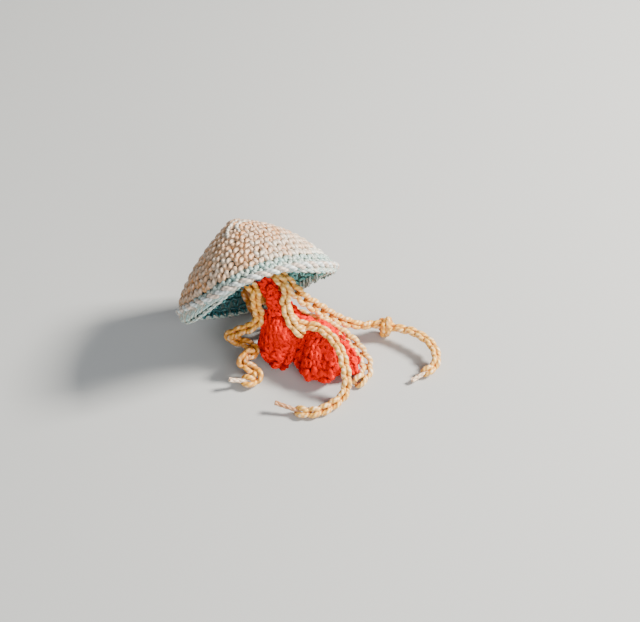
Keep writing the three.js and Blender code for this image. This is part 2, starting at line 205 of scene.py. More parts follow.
def twisted(line, strands, offset, pitch):
    """Strands that wind round a line, each once in every pitch. offset may change along the line."""
    ahead = directions(line)
    side = np.cross(ahead[0], (0.0, 0.0, 1.0))
    if np.linalg.norm(side) < 0.1:
        side = np.cross(ahead[0], (0.0, 1.0, 0.0))
    sides = []
    for step in ahead:
        side = unit(side - step * side.dot(step))
        sides.append(side)
    sides = np.array(sides)
    ups = np.cross(ahead, sides)
    run = np.linspace(0.0, length_of(line), len(line))
    made = []
    for strand in range(strands):
        angle = 2 * math.pi * (run / pitch + strand / strands)
        reach = np.broadcast_to(offset, run.shape)
        across = sides * (reach * np.cos(angle))[:, None]
        made.append(line + across + ups * (reach * np.sin(angle))[:, None])
    return made


def mirrored(points):
    return [(-x, y, z) for x, y, z in points]


def tapered(strand, widest, ends=0.6):
    """How fat a strand is along itself: full in the middle and drawn in at both ends."""
    return widest * np.interp(np.linspace(0, 1, len(strand)), (0, 0.3, 0.7, 1), (ends, 1, 1, ends))


patterns = []  # objects that only carry lines or points, removed at the end


def keep(mesh, name, values):
    """Keeps a number or a vector at each point of a mesh."""
    values = np.asarray(values, np.float32)
    kind, field = ("FLOAT", "value") if values.ndim == 1 else ("FLOAT_VECTOR", "vector")
    mesh.attributes.new(name, kind, "POINT").data.foreach_set(field, values.ravel())


def pattern(name, points, edges=(), faces=()):
    mesh = bpy.data.meshes.new(name)
    mesh.from_pydata(np.asarray(points).tolist(), list(edges), list(faces))
    made = bpy.data.objects.new(name, mesh)
    bpy.context.collection.objects.link(made)
    patterns.append(made)
    return made


def line_pattern(name, strands, fat, strand_tint=0.0, run_unit=MM, **kept):
    """Bare lines. fat widens the thread and strand_tint colours it: each is one number, a list of one for
    each strand, or a list of one for each point of each strand. Each point also keeps how far along its
    strand it is, in millimetres, and whatever else is given for the points."""
    edges = []
    runs = []
    first = 0
    for strand in strands:
        edges += [(first + i, first + i + 1) for i in range(len(strand) - 1)]
        first += len(strand)
        steps = np.linalg.norm(np.diff(strand, axis=0), axis=1)
        runs.append(np.concatenate([[0.0], np.cumsum(steps)]) / run_unit)
    made = pattern(name, np.concatenate(strands), edges)
    for label, value in (("fat", fat), ("strand_tint", strand_tint)):
        per_strand = value if isinstance(value, list) else [value] * len(strands)
        spread = [np.broadcast_to(np.asarray(v, float), len(s)) for v, s in zip(per_strand, strands)]
        keep(made.data, label, np.concatenate(spread))
    keep(made.data, "run", np.concatenate(runs))
    for label, value in kept.items():
        keep(made.data, label, value)
    return made


def drawn_stitch(name, threads, tall, strand_tint=0.0, ends=0.6):
    """One stitch, a unit wide and a unit high, to be placed many times. Each of its threads is a list of
    points, how closely to sample them, and how fat the thread is. tall is the stitch's real height in
    millimetres, which the twist of its plies follows."""
    strands = [smooth_line(points, spacing) for points, spacing, _ in threads]
    fat = [tapered(strand, widest, ends) for strand, (_, _, widest) in zip(strands, threads)]
    return line_pattern(name, strands, fat, strand_tint, run_unit=1 / tall)


# Geometry Nodes -----------------------------------------------------------------------------------


class Tree:
    """A Geometry Nodes tree in the making, with named inputs."""

    KINDS = {
        "object": "NodeSocketObject", "size": "NodeSocketFloat", "count": "NodeSocketInt",
        "material": "NodeSocketMaterial",
    }

    def __init__(self, name, **inputs):
        self.group = bpy.data.node_groups.new(name, "GeometryNodeTree")
        self.group.interface.new_socket("Geometry", in_out="INPUT", socket_type="NodeSocketGeometry")
        self.group.interface.new_socket("Geometry", in_out="OUTPUT", socket_type="NodeSocketGeometry")
        for label, kind in inputs.items():
            self.group.interface.new_socket(label, in_out="INPUT", socket_type=self.KINDS[kind])
        self.start = self.group.nodes.new("NodeGroupInput")

    def given(self, label):
        return self.start.outputs[label]

    def add(self, kind, values=None, output=0, **settings):
        """A new node's output. Its settings come first, because they decide which sockets it has."""
        node = self.group.nodes.new(kind)
        for label, value in settings.items():
            setattr(node, label, value)
        for label, value in (values or {}).items():
            if isinstance(value, bpy.types.NodeSocket):
                self.group.links.new(value, node.inputs[label])
            else:
                node.inputs[label].default_value = value
        return node.outputs[output]

    def maths(self, operation, a, b=0.0):
        return self.add("ShaderNodeMath", {0: a, 1: b}, operation=operation)

    def vector(self, operation, a, b=None, scale=None):
        values = {0: a} if b is None else {0: a, 1: b}
        if scale is not None:
            values["Scale"] = scale
        return self.add("ShaderNodeVectorMath", values, operation=operation)

    def kept(self, name, kind="FLOAT"):
        return self.add("GeometryNodeInputNamedAttribute", {"Name": name}, data_type=kind)

    def shape_of(self, label):
        return self.add("GeometryNodeObjectInfo", {"Object": self.given(label)}, output=4)

    def finish_threads(self, lines):
        """Turns bare lines into round threads that stay above the table, adds the backing, which is a wall
        behind them where there is one, and ends the tree."""
        place = self.add("GeometryNodeInputPosition")
        noise = self.add("ShaderNodeTexNoise", {"Vector": place, "Scale": self.given("Wobble scale")}, 1)
        centred = self.vector("SUBTRACT", noise, (0.5, 0.5, 0.5))
        offset = self.vector("SCALE", centred, scale=self.given("Wobble"))
        lines = self.add("GeometryNodeSetPosition", {"Geometry": lines, "Offset": offset})
        curves = self.add("GeometryNodeMeshToCurve", {"Mesh": lines})
        sides = self.given("Sides")
        section = self.add("GeometryNodeCurvePrimitiveCircle", {"Resolution": sides, "Radius": 1.0})
        corner = self.add("GeometryNodeInputPosition")
        values = {"Geometry": section, "Name": "ring", "Value": corner}
        section = self.add("GeometryNodeStoreNamedAttribute", values, data_type="FLOAT_VECTOR")
        radius = self.maths("MULTIPLY", self.kept("fat"), self.given("Thread"))
        threads = self.add(
            "GeometryNodeCurveToMesh",
            {"Curve": curves, "Profile Curve": section, "Scale": radius, "Fill Caps": True},
        )
        place = self.add("ShaderNodeSeparateXYZ", {"Vector": self.add("GeometryNodeInputPosition")}).node
        above = self.maths("MAXIMUM", place.outputs["Z"], TABLE_GAP)
        above = self.add("ShaderNodeCombineXYZ", {0: place.outputs["X"], 1: place.outputs["Y"], 2: above})
        threads = self.add("GeometryNodeSetPosition", {"Geometry": threads, "Position": above})
        threads = self.add("GeometryNodeSetShadeSmooth", {"Geometry": threads})
        backing = self.add("GeometryNodeSetShadeSmooth", {"Geometry": self.shape_of("Backing")})
        joined = self.add("GeometryNodeJoinGeometry")
        self.group.links.new(threads, joined.node.inputs[0])
        self.group.links.new(backing, joined.node.inputs[0])
        solid = self.add("GeometryNodeRealizeInstances", {"Geometry": joined})
        solid = self.add("GeometryNodeSetMaterial", {"Geometry": solid, "Material": self.given("Material")})
        stop = self.group.nodes.new("NodeGroupOutput")
        self.group.links.new(solid, stop.inputs[0])


THREAD_INPUTS = {
    "Thread": "size", "Sides": "count", "Wobble": "size", "Wobble scale": "size", "Backing": "object",
    "Material": "material",
}
TABLE_GAP = 0.0001  # what is left between the table and the lowest threads
WISP_LEAN = (1.3, 1.3, 3.1)  # how far a fibre may lean out of the surface and turn round, either way


def strand_tree():
    """Threads along the carrier's own lines."""
    tree = Tree("strands", **THREAD_INPUTS)
    tree.finish_threads(tree.given("Geometry"))
    return tree


def stitch_tree():
    """A stitch at every point of the carrier, standing on the surface that the point belongs to."""
    tree = Tree("stitches", Stitch="object", **THREAD_INPUTS)
    turn = tree.add(
        "FunctionNodeAxesToRotation",
        {0: tree.kept("outward", "FLOAT_VECTOR"), 1: tree.kept("toward", "FLOAT_VECTOR")},
        primary_axis="Z", secondary_axis="Y",
    )
    stitches = tree.add(
        "GeometryNodeInstanceOnPoints",
        {
            "Points": tree.given("Geometry"), "Instance": tree.shape_of("Stitch"), "Rotation": turn,
            "Scale": tree.kept("size", "FLOAT_VECTOR"),
        },
    )
    tree.finish_threads(tree.add("GeometryNodeRealizeInstances", {"Geometry": stitches}))
    return tree


def chain_tree():
    """Chain links along the carrier's one line. A link is drawn with its width along X, the chain along Y
    and its face along Z. The line keeps which way the chain faces, how wide its links lie, and its tint."""
    tree = Tree("chain", Link="object", Pitch="size", Width="size", Depth="size", **THREAD_INPUTS)
    route = tree.add("GeometryNodeMeshToCurve", {"Mesh": tree.given("Geometry")})
    length = tree.add("GeometryNodeCurveLength", {"Curve": route})
    count = tree.maths("FLOOR", tree.maths("DIVIDE", length, tree.given("Pitch")))
    spots = tree.add("GeometryNodeMeshLine", {"Count": count, "Offset": (0.0, 1.0, 0.0)})
    links = tree.add("GeometryNodeInstanceOnPoints", {"Points": spots, "Instance": tree.shape_of("Link")})
    links = tree.add("GeometryNodeRealizeInstances", {"Geometry": links})
    drawn = tree.add("ShaderNodeSeparateXYZ", {"Vector": tree.add("GeometryNodeInputPosition")}).node
    run = tree.maths("MULTIPLY", drawn.outputs["Y"], tree.maths("DIVIDE", length, count))

    def sampled(label, kind="FLOAT"):
        """What the line keeps at the place that a link's point has along it."""
        values = {"Curves": route, 1: tree.kept(label, kind), "Length": run}
        return tree.add("GeometryNodeSampleCurve", values, mode="LENGTH", data_type=kind)

    values = {"Geometry": links, "Name": "tint", "Value": sampled("tint")}
    links = tree.add("GeometryNodeStoreNamedAttribute", values)
    face = sampled("face", "FLOAT_VECTOR")
    middle = face.node.outputs["Position"]
    ahead = face.node.outputs["Tangent"]
    side = tree.vector("NORMALIZE", tree.vector("CROSS_PRODUCT", ahead, face))
    front = tree.vector("CROSS_PRODUCT", side, ahead)
    across = tree.maths("MULTIPLY", drawn.outputs["X"], tree.given("Width"))
    across = tree.maths("MULTIPLY", across, sampled("spread"))
    deep = tree.maths("MULTIPLY", drawn.outputs["Z"], tree.given("Depth"))
    moved = tree.vector("ADD", middle, tree.vector("SCALE", side, scale=across))
    moved = tree.vector("ADD", moved, tree.vector("SCALE", front, scale=deep))
    tree.finish_threads(tree.add("GeometryNodeSetPosition", {"Geometry": links, "Position": moved}))
    return tree


def wisp_tree():
    """Fine loose fibres, scattered over the carrier's faces."""
    tree = Tree("wisps", Wisp="object", Density="size", Shortest="size", Longest="size", Seed="count",
                **THREAD_INPUTS)
    values = {"Mesh": tree.given("Geometry"), "Density": tree.given("Density"), "Seed": tree.given("Seed")}
    scattered = tree.add("GeometryNodeDistributePointsOnFaces", values).node
    other_way = tuple(-angle for angle in WISP_LEAN)
    lean = tree.add("FunctionNodeRandomValue", {0: other_way, 1: WISP_LEAN}, data_type="FLOAT_VECTOR")
    lean = tree.add("FunctionNodeEulerToRotation", {"Euler": lean})
    values = {"Rotation": scattered.outputs["Rotation"], "Rotate By": lean}
    turn = tree.add("FunctionNodeRotateRotation", values, rotation_space="LOCAL")
    values = {2: tree.given("Shortest"), 3: tree.given("Longest"), "Seed": 3}
    size = tree.add("FunctionNodeRandomValue", values, output=1)
    wisps = tree.add(
        "GeometryNodeInstanceOnPoints",
        {
            "Points": scattered.outputs["Points"], "Instance": tree.shape_of("Wisp"), "Rotation": turn,
            "Scale": size,
        },
    )
    tree.finish_threads(tree.add("GeometryNodeRealizeInstances", {"Geometry": wisps}))
    return tree


STRANDS = strand_tree()
STITCHES = stitch_tree()
CHAIN = chain_tree()
WISPS = wisp_tree()


def grow(name, carrier, tree, material, thread, line=None, **inputs):
    """Runs a tree on its carrier and keeps what it makes as a plain mesh, with its map for the export.
    thread is one of the yarns, and line is the middle of a chain or a cord, where the piece is one."""
    modifier = carrier.modifiers.new("grow", "NODES")
    modifier.node_group = tree.group
    values = {"Material": material, **thread, **inputs}
    for item in tree.group.interface.items_tree:
        if values.get(item.name) is not None:
            modifier[item.identifier] = values[item.name]
    ready = carrier.evaluated_get(bpy.context.evaluated_depsgraph_get())
    mesh = bpy.data.meshes.new_from_object(ready)
    carrier.modifiers.remove(modifier)
    made = bpy.data.objects.new(name, mesh)
    bpy.context.collection.objects.link(made)
    keep_rise(mesh, line)
    add_bake_map(mesh)
    return made


def column(mesh, label, field="vector", width=3):
    """What the mesh keeps under a name, or zeros."""
    values = np.zeros(len(mesh.vertices) * width, np.float32)
    if label in mesh.attributes:
        mesh.attributes[label].data.foreach_get(field, values)
    return values.reshape(-1, width)


WALL_RISE = -2.0  # a wall counts as lying this far below the fabric, in millimetres, so it takes the painted shade colour
BAKE_PATCH = 0.003  # the side of a patch on the map for the export
MAP_DEPTH = 0.05  # how far down the cup's fabric fills the map
MAP_TURN = 7  # an angle round a piece, in radians, that fills it
MAP_FALL = 4  # an angle from a frill's top towards its foot that fills it
MAP_ROWS = 12  # and a stem's rows


def keep_rise(mesh, line=None):
    """How far each point of a thread stands out, in millimetres: from the fabric, or from a chain's line.
    With it the finishes paint shade into the dips and painted glints onto the crests."""
    places = np.empty(len(mesh.vertices) * 3, np.float32)
    mesh.vertices.foreach_get("co", places)
    places = places.reshape(-1, 3)
    if line is None:
        outward = column(mesh, "outward")
        rise = ((places - column(mesh, "foot")) * outward).sum(axis=1) / MM
        # walls behind the stitches are painted with the shade colour
        rise[np.linalg.norm(outward, axis=1) < 0.5] = WALL_RISE
    else:
        blocks = np.array_split(places, len(places) // 4000 + 1)
        apart = [np.linalg.norm(block[:, None] - line[None], axis=2).min(axis=1) for block in blocks]
        rise = np.concatenate(apart) / MM
    keep(mesh, "rise", rise)


def add_bake_map(mesh):
    """A map where each stitch, strand or fibre is a small patch at its place on the unwrapped fabric."""
    across = column(mesh, "cell")[:, :2] + BAKE_PATCH / 2 * column(mesh, "ring")[:, :2]
    across[:, 1] += BAKE_PATCH * (column(mesh, "run", "value", 1)[:, 0] % 1.0)
    corners = np.zeros(len(mesh.loops), np.int32)
    mesh.loops.foreach_get("vertex_index", corners)
    layer = mesh.uv_layers.new(name="OFBake")
    layer.data.foreach_set("uv", across[corners].astype(np.float32).ravel())


def joined(name, pieces):
    """Several pieces as one, under a new name."""
    with bpy.context.temp_override(
        active_object=pieces[0], object=pieces[0], selected_objects=pieces, selected_editable_objects=pieces
    ):
        bpy.ops.object.join()
    pieces[0].name = name
    return pieces[0]


def settle(piece, nodes):
    """Hangs a finished piece on the model in place of its CAD nodes."""
    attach(piece, "root")
    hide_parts(*nodes)
    return piece


class Stitches:
    """Places for stitches, gathered one by one. Each has a place, the way it faces, the way its top points,
    its size, its tint, and where it goes on the map for the export."""

    def __init__(self):
        self.rows = []

    def put(self, place, outward, toward, size, tint, cell):
        self.rows.append((place, outward, toward, size, tint, cell))

    def carrier(self, name):
        columns = [np.array(values) for values in zip(*self.rows)]
        made = pattern(name, columns[0])
        for label, values in zip(("foot", "outward", "toward", "size", "tint", "cell"), columns):
            keep(made.data, label, values)
        return made


def stitched(name, places, stitch, material, thread, backing=None):
    """A mesh with a stitch at each of the places, and the wall behind them."""
    carrier = places.carrier(f"{name}_places")
    return grow(name, carrier, STITCHES, material, thread, Stitch=stitch, Backing=backing)


# Materials ----------------------------------------------------------------------------------------


class Value:
    """A number, colour or vector in a material, with plain arithmetic."""

    def __init__(self, finish, socket):
        self.finish = finish
        self.socket = socket

    def _maths(self, operation, a, b):
        return self.finish.node("ShaderNodeMath", {0: a, 1: b}, operation=operation)

    def __add__(self, other):
        return self._maths("ADD", self, other)

    __radd__ = __add__

    def __sub__(self, other):
        return self._maths("SUBTRACT", self, other)

    def __rsub__(self, other):
        return self._maths("SUBTRACT", other, self)

    def __mul__(self, other):
        return self._maths("MULTIPLY", self, other)

    __rmul__ = __mul__

    def sine(self):
        return self._maths("SINE", self, 0.0)

    def cosine(self):
        return self._maths("COSINE", self, 0.0)

    def between(self, low, high):
        return self.finish.node("ShaderNodeClamp", {"Value": self, "Min": low, "Max": high})


class Finish:
    """A material in the making. Constants are set on the shader's own sockets."""

    def __init__(self, name, **constants):
        self.material = bpy.data.materials.new(name)
        self.material.use_nodes = True
        self.tree = self.material.node_tree
        self.surface = self.tree.nodes["Principled BSDF"]
        for label, value in constants.items():
            self.surface.inputs[label.replace("_", " ")].default_value = value

    def node(self, kind, values=None, output=0, **settings):
        node = self.tree.nodes.new(kind)
        for label, value in settings.items():
            setattr(node, label, value)
        for label, value in (values or {}).items():
            self.put(node.inputs[label], value)
        return Value(self, node.outputs[output])

    def put(self, socket, value):
        if isinstance(value, Value):
            self.tree.links.new(value.socket, socket)
        else:
            socket.default_value = value

    def kept(self, name):
        """A number that the mesh keeps at its points."""
        return self.node("ShaderNodeAttribute", {}, 2, attribute_name=name)

    def kept_vector(self, name):
        """The X and Y of a vector that the mesh keeps at its points."""
        vector = self.node("ShaderNodeAttribute", {}, 1, attribute_name=name)
        split = self.node("ShaderNodeSeparateXYZ", {"Vector": vector})
        return split, Value(self, split.socket.node.outputs[1])

    def mix(self, factor, a, b):
        return self.node("ShaderNodeMix", {0: factor, 6: a, 7: b}, 2, data_type="RGBA")

    def noise(self, scale, detail=2.0):
        place = self.node("ShaderNodeTexCoord", {}, 3)
        return self.node("ShaderNodeTexNoise", {"Vector": place, "Scale": scale, "Detail": detail})

    def bump(self, height, distance):
        return self.node("ShaderNodeBump", {"Height": height, "Distance": distance, "Strength": 1.0})

    def shade(self, **sockets):
        for label, value in sockets.items():
            self.put(self.surface.inputs[label.replace("_", " ")], value)
        return self.material


def rgb(red, green, blue):
    """A display colour of 0 to 255 as the shader's linear one."""
    def linear(value):
        share = value / 255
        return share / 12.92 if share <= 0.04045 else ((share + 0.055) / 1.055) ** 2.4
    return (linear(red), linear(green), linear(blue), 1.0)


MOTTLE_SCALE = 420.0  # patches of a slightly different tint along a thread
SPARK_SCALE = 900.0  # painted glints on its crests
HAIR_SCALE = 3500.0  # fine hairs
SHADE_FADE = 0.7  # millimetres of depth over which a thread turns to its painted shade colour
CREST_FADE = 0.25  # millimetres of rise over which the painted glints come up
DIP_SHARE = 0.85  # how much of the painted shade colour the depth alone brings
SHADE_MOST = 0.95  # and how much of it a thread takes at most
SPARK_FROM = 0.45  # the noise above which a painted glint begins
SPARK_SHARPNESS = 6.0


def thread_finish(name, base, other, painted_shade, glint, depths, ply_pitch=1.6, ply_depth=0.00014,
                  roughness=0.36, specular=0.5, ply_contrast=0.5, glints=0.5, patchy=0.5, fibre=0.3):
    """Twisted thread. Its colour runs from the base to the other with the tints that the mesh keeps, and to
    the painted shade colour where the thread dips and in the grooves of its plies: painted shade. Its
    crests catch painted glints of the glint colour here and there: painted highlights. depths are the
    rises, in millimetres, at which the painted shade ends, and at which the glints begin. Two plies wind
    round the thread, once in every ply_pitch millimetres."""
    finish = Finish(name, Roughness=roughness, Specular_IOR_Level=specular)
    ring_x, ring_y = finish.kept_vector("ring")
    phase = finish.kept("run") * (2 * math.pi / ply_pitch)
    twice_sine = ring_x * ring_y * 2.0
    twice_cosine = ring_x * ring_x - ring_y * ring_y
    ply = (twice_sine * phase.cosine() + twice_cosine * phase.sine()) * 0.5 + 0.5
    mottle = finish.noise(MOTTLE_SCALE) - 0.5
    tint = (finish.kept("tint") + finish.kept("strand_tint") + mottle * patchy).between(0.0, 1.0)
    colour = finish.mix(tint, base, other)
    rise = finish.kept("rise")
    shade_end, crest_start = depths
    # painted shade: the thread darkens to the shade colour as it dips, and in its ply grooves
    dip = ((shade_end - rise) * (1 / SHADE_FADE)).between(0.0, 1.0)
    groove = (1.0 - ply) * ply_contrast
    colour = finish.mix((dip * DIP_SHARE + groove).between(0.0, SHADE_MOST), colour, painted_shade)
    # painted highlights: the crests take the glint colour where the noise is high
    crest = ((rise - crest_start) * (1 / CREST_FADE)).between(0.0, 1.0)
    spark = ((finish.noise(SPARK_SCALE) - SPARK_FROM) * SPARK_SHARPNESS).between(0.0, 1.0)
    colour = finish.mix(crest * spark * ply * glints, colour, glint)
    height = ply + finish.noise(HAIR_SCALE, 3.0) * fibre
    return finish.shade(Base_Color=colour, Normal=finish.bump(height, ply_depth))


# Tentacles ----------------------------------------------------------------------------------------

ROUTES = {
    "left": [
        (-0.0126, 0.0086, 0.0290), (-0.0116, 0.0057, 0.0286), (-0.0105, 0.0028, 0.0283),
        (-0.0090, 0.0001, 0.0283), (-0.0070, -0.0023, 0.0286), (-0.0049, -0.0046, 0.0286),
        (-0.0028, -0.0064, 0.0273), (-0.0027, -0.0067, 0.0243), (-0.0027, -0.0065, 0.0212),
        (-0.0021, -0.0063, 0.0181), (-0.0021, -0.0063, 0.0150), (-0.0039, -0.0066, 0.0126),
        (-0.0066, -0.0068, 0.0112), (-0.0095, -0.0070, 0.0100), (-0.0112, -0.0064, 0.0077),
        (-0.0089, -0.0061, 0.0058), (-0.0060, -0.0069, 0.0054), (-0.0039, -0.0091, 0.0055),
        (-0.0038, -0.0120, 0.0064), (-0.0060, -0.0137, 0.0075), (-0.0072, -0.0150, 0.0059),
        (-0.0047, -0.0158, 0.0042), (-0.0023, -0.0173, 0.0030), (-0.0036, -0.0193, 0.0019),
        (-0.0067, -0.0192, 0.0023),
    ],
    "short": [
        (-0.0052, 0.0086, 0.0336), (-0.0036, 0.0061, 0.0331), (-0.0019, 0.0036, 0.0325),
        (-0.0002, 0.0012, 0.0316), (0.0015, -0.0010, 0.0306), (0.0035, -0.0030, 0.0295),
        (0.0057, -0.0049, 0.0285), (0.0066, -0.0061, 0.0262), (0.0060, -0.0067, 0.0233),
        (0.0064, -0.0080, 0.0206), (0.0074, -0.0093, 0.0181), (0.0090, -0.0105, 0.0157),
        (0.0111, -0.0111, 0.0137),
    ],
    "right": [
        (-0.0022, 0.0113, 0.0310), (-0.0006, 0.0088, 0.0299), (0.0011, 0.0064, 0.0289),
        (0.0028, 0.0040, 0.0276), (0.0045, 0.0017, 0.0263), (0.0065, -0.0003, 0.0250),
        (0.0086, -0.0016, 0.0230), (0.0105, -0.0020, 0.0206), (0.0127, -0.0021, 0.0182),
        (0.0150, -0.0019, 0.0161), (0.0172, -0.0017, 0.0139), (0.0195, -0.0014, 0.0117),
        (0.0219, -0.0009, 0.0097), (0.0244, -0.0003, 0.0079), (0.0270, 0.0004, 0.0063),
        (0.0298, 0.0013, 0.0052), (0.0329, 0.0020, 0.0048), (0.0360, 0.0019, 0.0045),
        (0.0390, 0.0010, 0.0042), (0.0419, -0.0002, 0.0044), (0.0447, -0.0016, 0.0048),
        (0.0473, -0.0033, 0.0047), (0.0495, -0.0056, 0.0044), (0.0510, -0.0083, 0.0038),
        (0.0514, -0.0113, 0.0030), (0.0501, -0.0140, 0.0021), (0.0475, -0.0157, 0.0017),
    ],
    "front": [
        (-0.0029, 0.0136, 0.0272), (-0.0015, 0.0112, 0.0258), (-0.0001, 0.0087, 0.0246),
        (0.0013, 0.0062, 0.0235), (0.0027, 0.0036, 0.0226), (0.0042, 0.0009, 0.0219),
        (0.0054, -0.0018, 0.0210), (0.0063, -0.0042, 0.0193), (0.0073, -0.0060, 0.0170),
        (0.0091, -0.0074, 0.0150), (0.0120, -0.0081, 0.0144), (0.0150, -0.0090, 0.0146),
        (0.0176, -0.0106, 0.0143), (0.0198, -0.0126, 0.0136), (0.0215, -0.0150, 0.0125),
        (0.0227, -0.0175, 0.0112), (0.0235, -0.0200, 0.0095), (0.0240, -0.0218, 0.0071),
        (0.0240, -0.0235, 0.0045), (0.0229, -0.0256, 0.0027), (0.0208, -0.0278, 0.0020),
        (0.0183, -0.0297, 0.0017), (0.0155, -0.0309, 0.0016), (0.0124, -0.0313, 0.0016),
        (0.0094, -0.0306, 0.0016),
    ],
    "curl": [
        (-0.0064, 0.0140, 0.0242), (-0.0046, 0.0123, 0.0224), (-0.0029, 0.0105, 0.0207),
        (-0.0011, 0.0086, 0.0192), (0.0007, 0.0065, 0.0179), (0.0026, 0.0045, 0.0166),
        (0.0045, 0.0027, 0.0151), (0.0065, 0.0013, 0.0133), (0.0089, 0.0001, 0.0119),
        (0.0115, -0.0013, 0.0116), (0.0140, -0.0029, 0.0119), (0.0166, -0.0045, 0.0122),
        (0.0192, -0.0060, 0.0119), (0.0218, -0.0071, 0.0109), (0.0243, -0.0081, 0.0094),
        (0.0264, -0.0091, 0.0076), (0.0282, -0.0105, 0.0056), (0.0298, -0.0122, 0.0036),
        (0.0303, -0.0148, 0.0021), (0.0292, -0.0175, 0.0018), (0.0273, -0.0199, 0.0016),
    ],
    "inner": [
        (-0.0106, 0.0126, 0.0240), (-0.0098, 0.0101, 0.0222), (-0.0088, 0.0077, 0.0204),
        (-0.0076, 0.0054, 0.0187), (-0.0061, 0.0032, 0.0169), (-0.0048, 0.0012, 0.0148),
        (-0.0037, 0.0002, 0.0121), (-0.0025, 0.0003, 0.0091), (-0.0013, 0.0009, 0.0063),
        (0.0003, 0.0016, 0.0037), (0.0027, 0.0023, 0.0019), (0.0059, 0.0024, 0.0016),
        (0.0090, 0.0019, 0.0017),
    ],
    "hidden": [
        (-0.0124, 0.0104, 0.0260), (-0.0111, 0.0076, 0.0251), (-0.0095, 0.0050, 0.0243),
        (-0.0074, 0.0026, 0.0239), (-0.0050, 0.0006, 0.0233), (-0.0025, -0.0007, 0.0218),
        (-0.0009, -0.0009, 0.0191), (0.0004, 0.0000, 0.0164), (0.0016, 0.0016, 0.0139),
        (0.0027, 0.0030, 0.0112), (0.0036, 0.0041, 0.0084), (0.0040, 0.0052, 0.0054),
        (0.0050, 0.0063, 0.0026), (0.0078, 0.0070, 0.0016),
    ],
}
# Where the bare thread beyond a chain's last link is cut off, and its tint.
TAILS = {
    "left": ((-0.0107, -0.0204, 0.0038), 0.9),
    "right": ((0.0439, -0.0183, 0.0012), 0.9),
    "front": ((0.0031, -0.0291, 0.0034), 0.2),
}
# Along each chain, by share of its length: the way that it faces, and how wide its links lie.
CHAIN_LIE = {
    "left": [(0.0, (0, -1, 0.5), 0.9), (0.35, (0.3, -1, 0.6), 1.1), (0.55, (-0.3, -0.6, 1), 1.0),
             (0.8, (0.4, -1, 0.8), 1.05), (1.0, (0, -0.6, 1), 1.2)],
    "short": [(0.0, (0, -1, 0.5), 0.8), (0.5, (0.1, -1, 0.6), 0.9), (1.0, (0, -1, 1), 1.0)],
    "right": [(0.0, (0, -0.8, 1), 0.9), (0.14, (0, -0.8, 1), 1.1), (0.24, (0, -0.8, 1), 1.5),
              (0.42, (0, -0.8, 1), 1.5), (0.52, (0, -0.9, 0.7), 1.0), (0.58, (0, -1, 0.1), 0.7),
              (0.72, (0, -0.2, 1), 0.7), (1.0, (0.6, -0.6, 1), 0.85)],
    "front": [(0.0, (0, -1, 1), 0.8), (0.35, (0.0, -0.9, 1), 0.85), (0.5, (0.5, -0.8, 1), 0.85),
              (0.72, (0.6, -1, 0.6), 0.95), (1.0, (0, -0.8, 1), 1.05)],
    "curl": [(0.0, (0, -1, 1), 0.8), (0.5, (0.4, -0.6, 1), 0.9), (0.66, (0.4, -0.6, 1), 1.35),
             (0.85, (0.3, -0.7, 1), 1.6), (1.0, (0.2, -0.8, 1), 1.3)],
    "inner": [(0.0, (0, -1, 0.5), 0.8), (1.0, (0, -1, 0.8), 0.8)],
    "hidden": [(0.0, (0, -1, 0.5), 0.8), (1.0, (0, -1, 0.8), 0.8)],
}
# Along each chain, its tints pick between its finish's two colours. The low tints of the left chain's lower
# stretch and of the inner and hidden chains are painted shade, and the short chain's paler tint is painted
# light.
CHAIN_TINT = {
    "left": (1.0, 1.0, 0.9, 0.4, 0.3, 1.0),
    "short": (0.3,),
    "right": (0.2, 0.2, 0.0, 0.0, 0.2, 0.2),
    "front": (0.1,),
    "curl": (0.5,),
    "inner": (0.0,),
    "hidden": (0.3,),
}  # at even shares of each chain's length
# chains in the cup's shade: they take a darker copy of the cream cotton, a painted shade
SHADED_CHAINS = ("left", "inner", "hidden")
KNOT_CENTRE = (0.0364, 0.0018, 0.0038)
KNOT_WIDTH = 0.0044
KNOT_HEIGHT = 0.0074
KNOT_LEAN = math.radians(8)
KNOT_TURNS = 2.0
KNOT_START = 0.9  # the angle where its first turn begins
KNOT_REACH = 0.27  # how far it goes to either side of its centre, as a share of its width
KNOT_LIE = [(0.0, (1, -0.5, 0), 0.62), (1.0, (-1, -0.5, 0), 0.62)]
KNOT_INSETS = (0.0009, 0.0011)  # how far its thread's middle lies within its width and its height

ROUTE_STEP = 0.0008
TAIL_STEP = 0.00035
TAIL_GAP = 0.0005  # between the table and the middle of a ply


def link_pattern():
    """One chain link: a loop whose two arms come out of the link before and close behind the next one."""
    arm = [(-0.04, -0.22, -0.60), (-0.20, 0.02, 0.05), (-0.40, 0.36, 0.40), (-0.46, 0.70, 0.22),
           (-0.30, 1.00, -0.20), (0.0, 1.14, -0.60)]
    return drawn_stitch("link", [(arm, 0.18, 1.1), (mirrored(arm), 0.18, 1.1)], 3.5, [0.0, 0.15], ends=0.55)


def chain_line(name, route, lie, tints):
    """A route that keeps, at each of its points, how the chain lies there and its tint."""
    shares = np.linspace(0, 1, len(route))
    at = [share for share, _, _ in lie]
    faces = np.array([unit(np.array(face, float)) for _, face, _ in lie])
    face = np.stack([np.interp(shares, at, faces[:, axis]) for axis in range(3)], axis=1)
    spread = np.interp(shares, at, [width for _, _, width in lie])
    tint = np.interp(shares, np.linspace(0, 1, len(tints)), tints)
    return line_pattern(name, [route], 1.0, face=face, spread=spread, tint=tint)


def chain_piece(name, route, lie, tints, depth, link, material, thread):
    """Chain links along a route."""
    return grow(
        name, chain_line(f"{name}_route", route, lie, tints), CHAIN, material, thread, route, Link=link,
        Pitch=CHAIN_PITCH, Width=CHAIN_SPREAD, Depth=depth,
    )


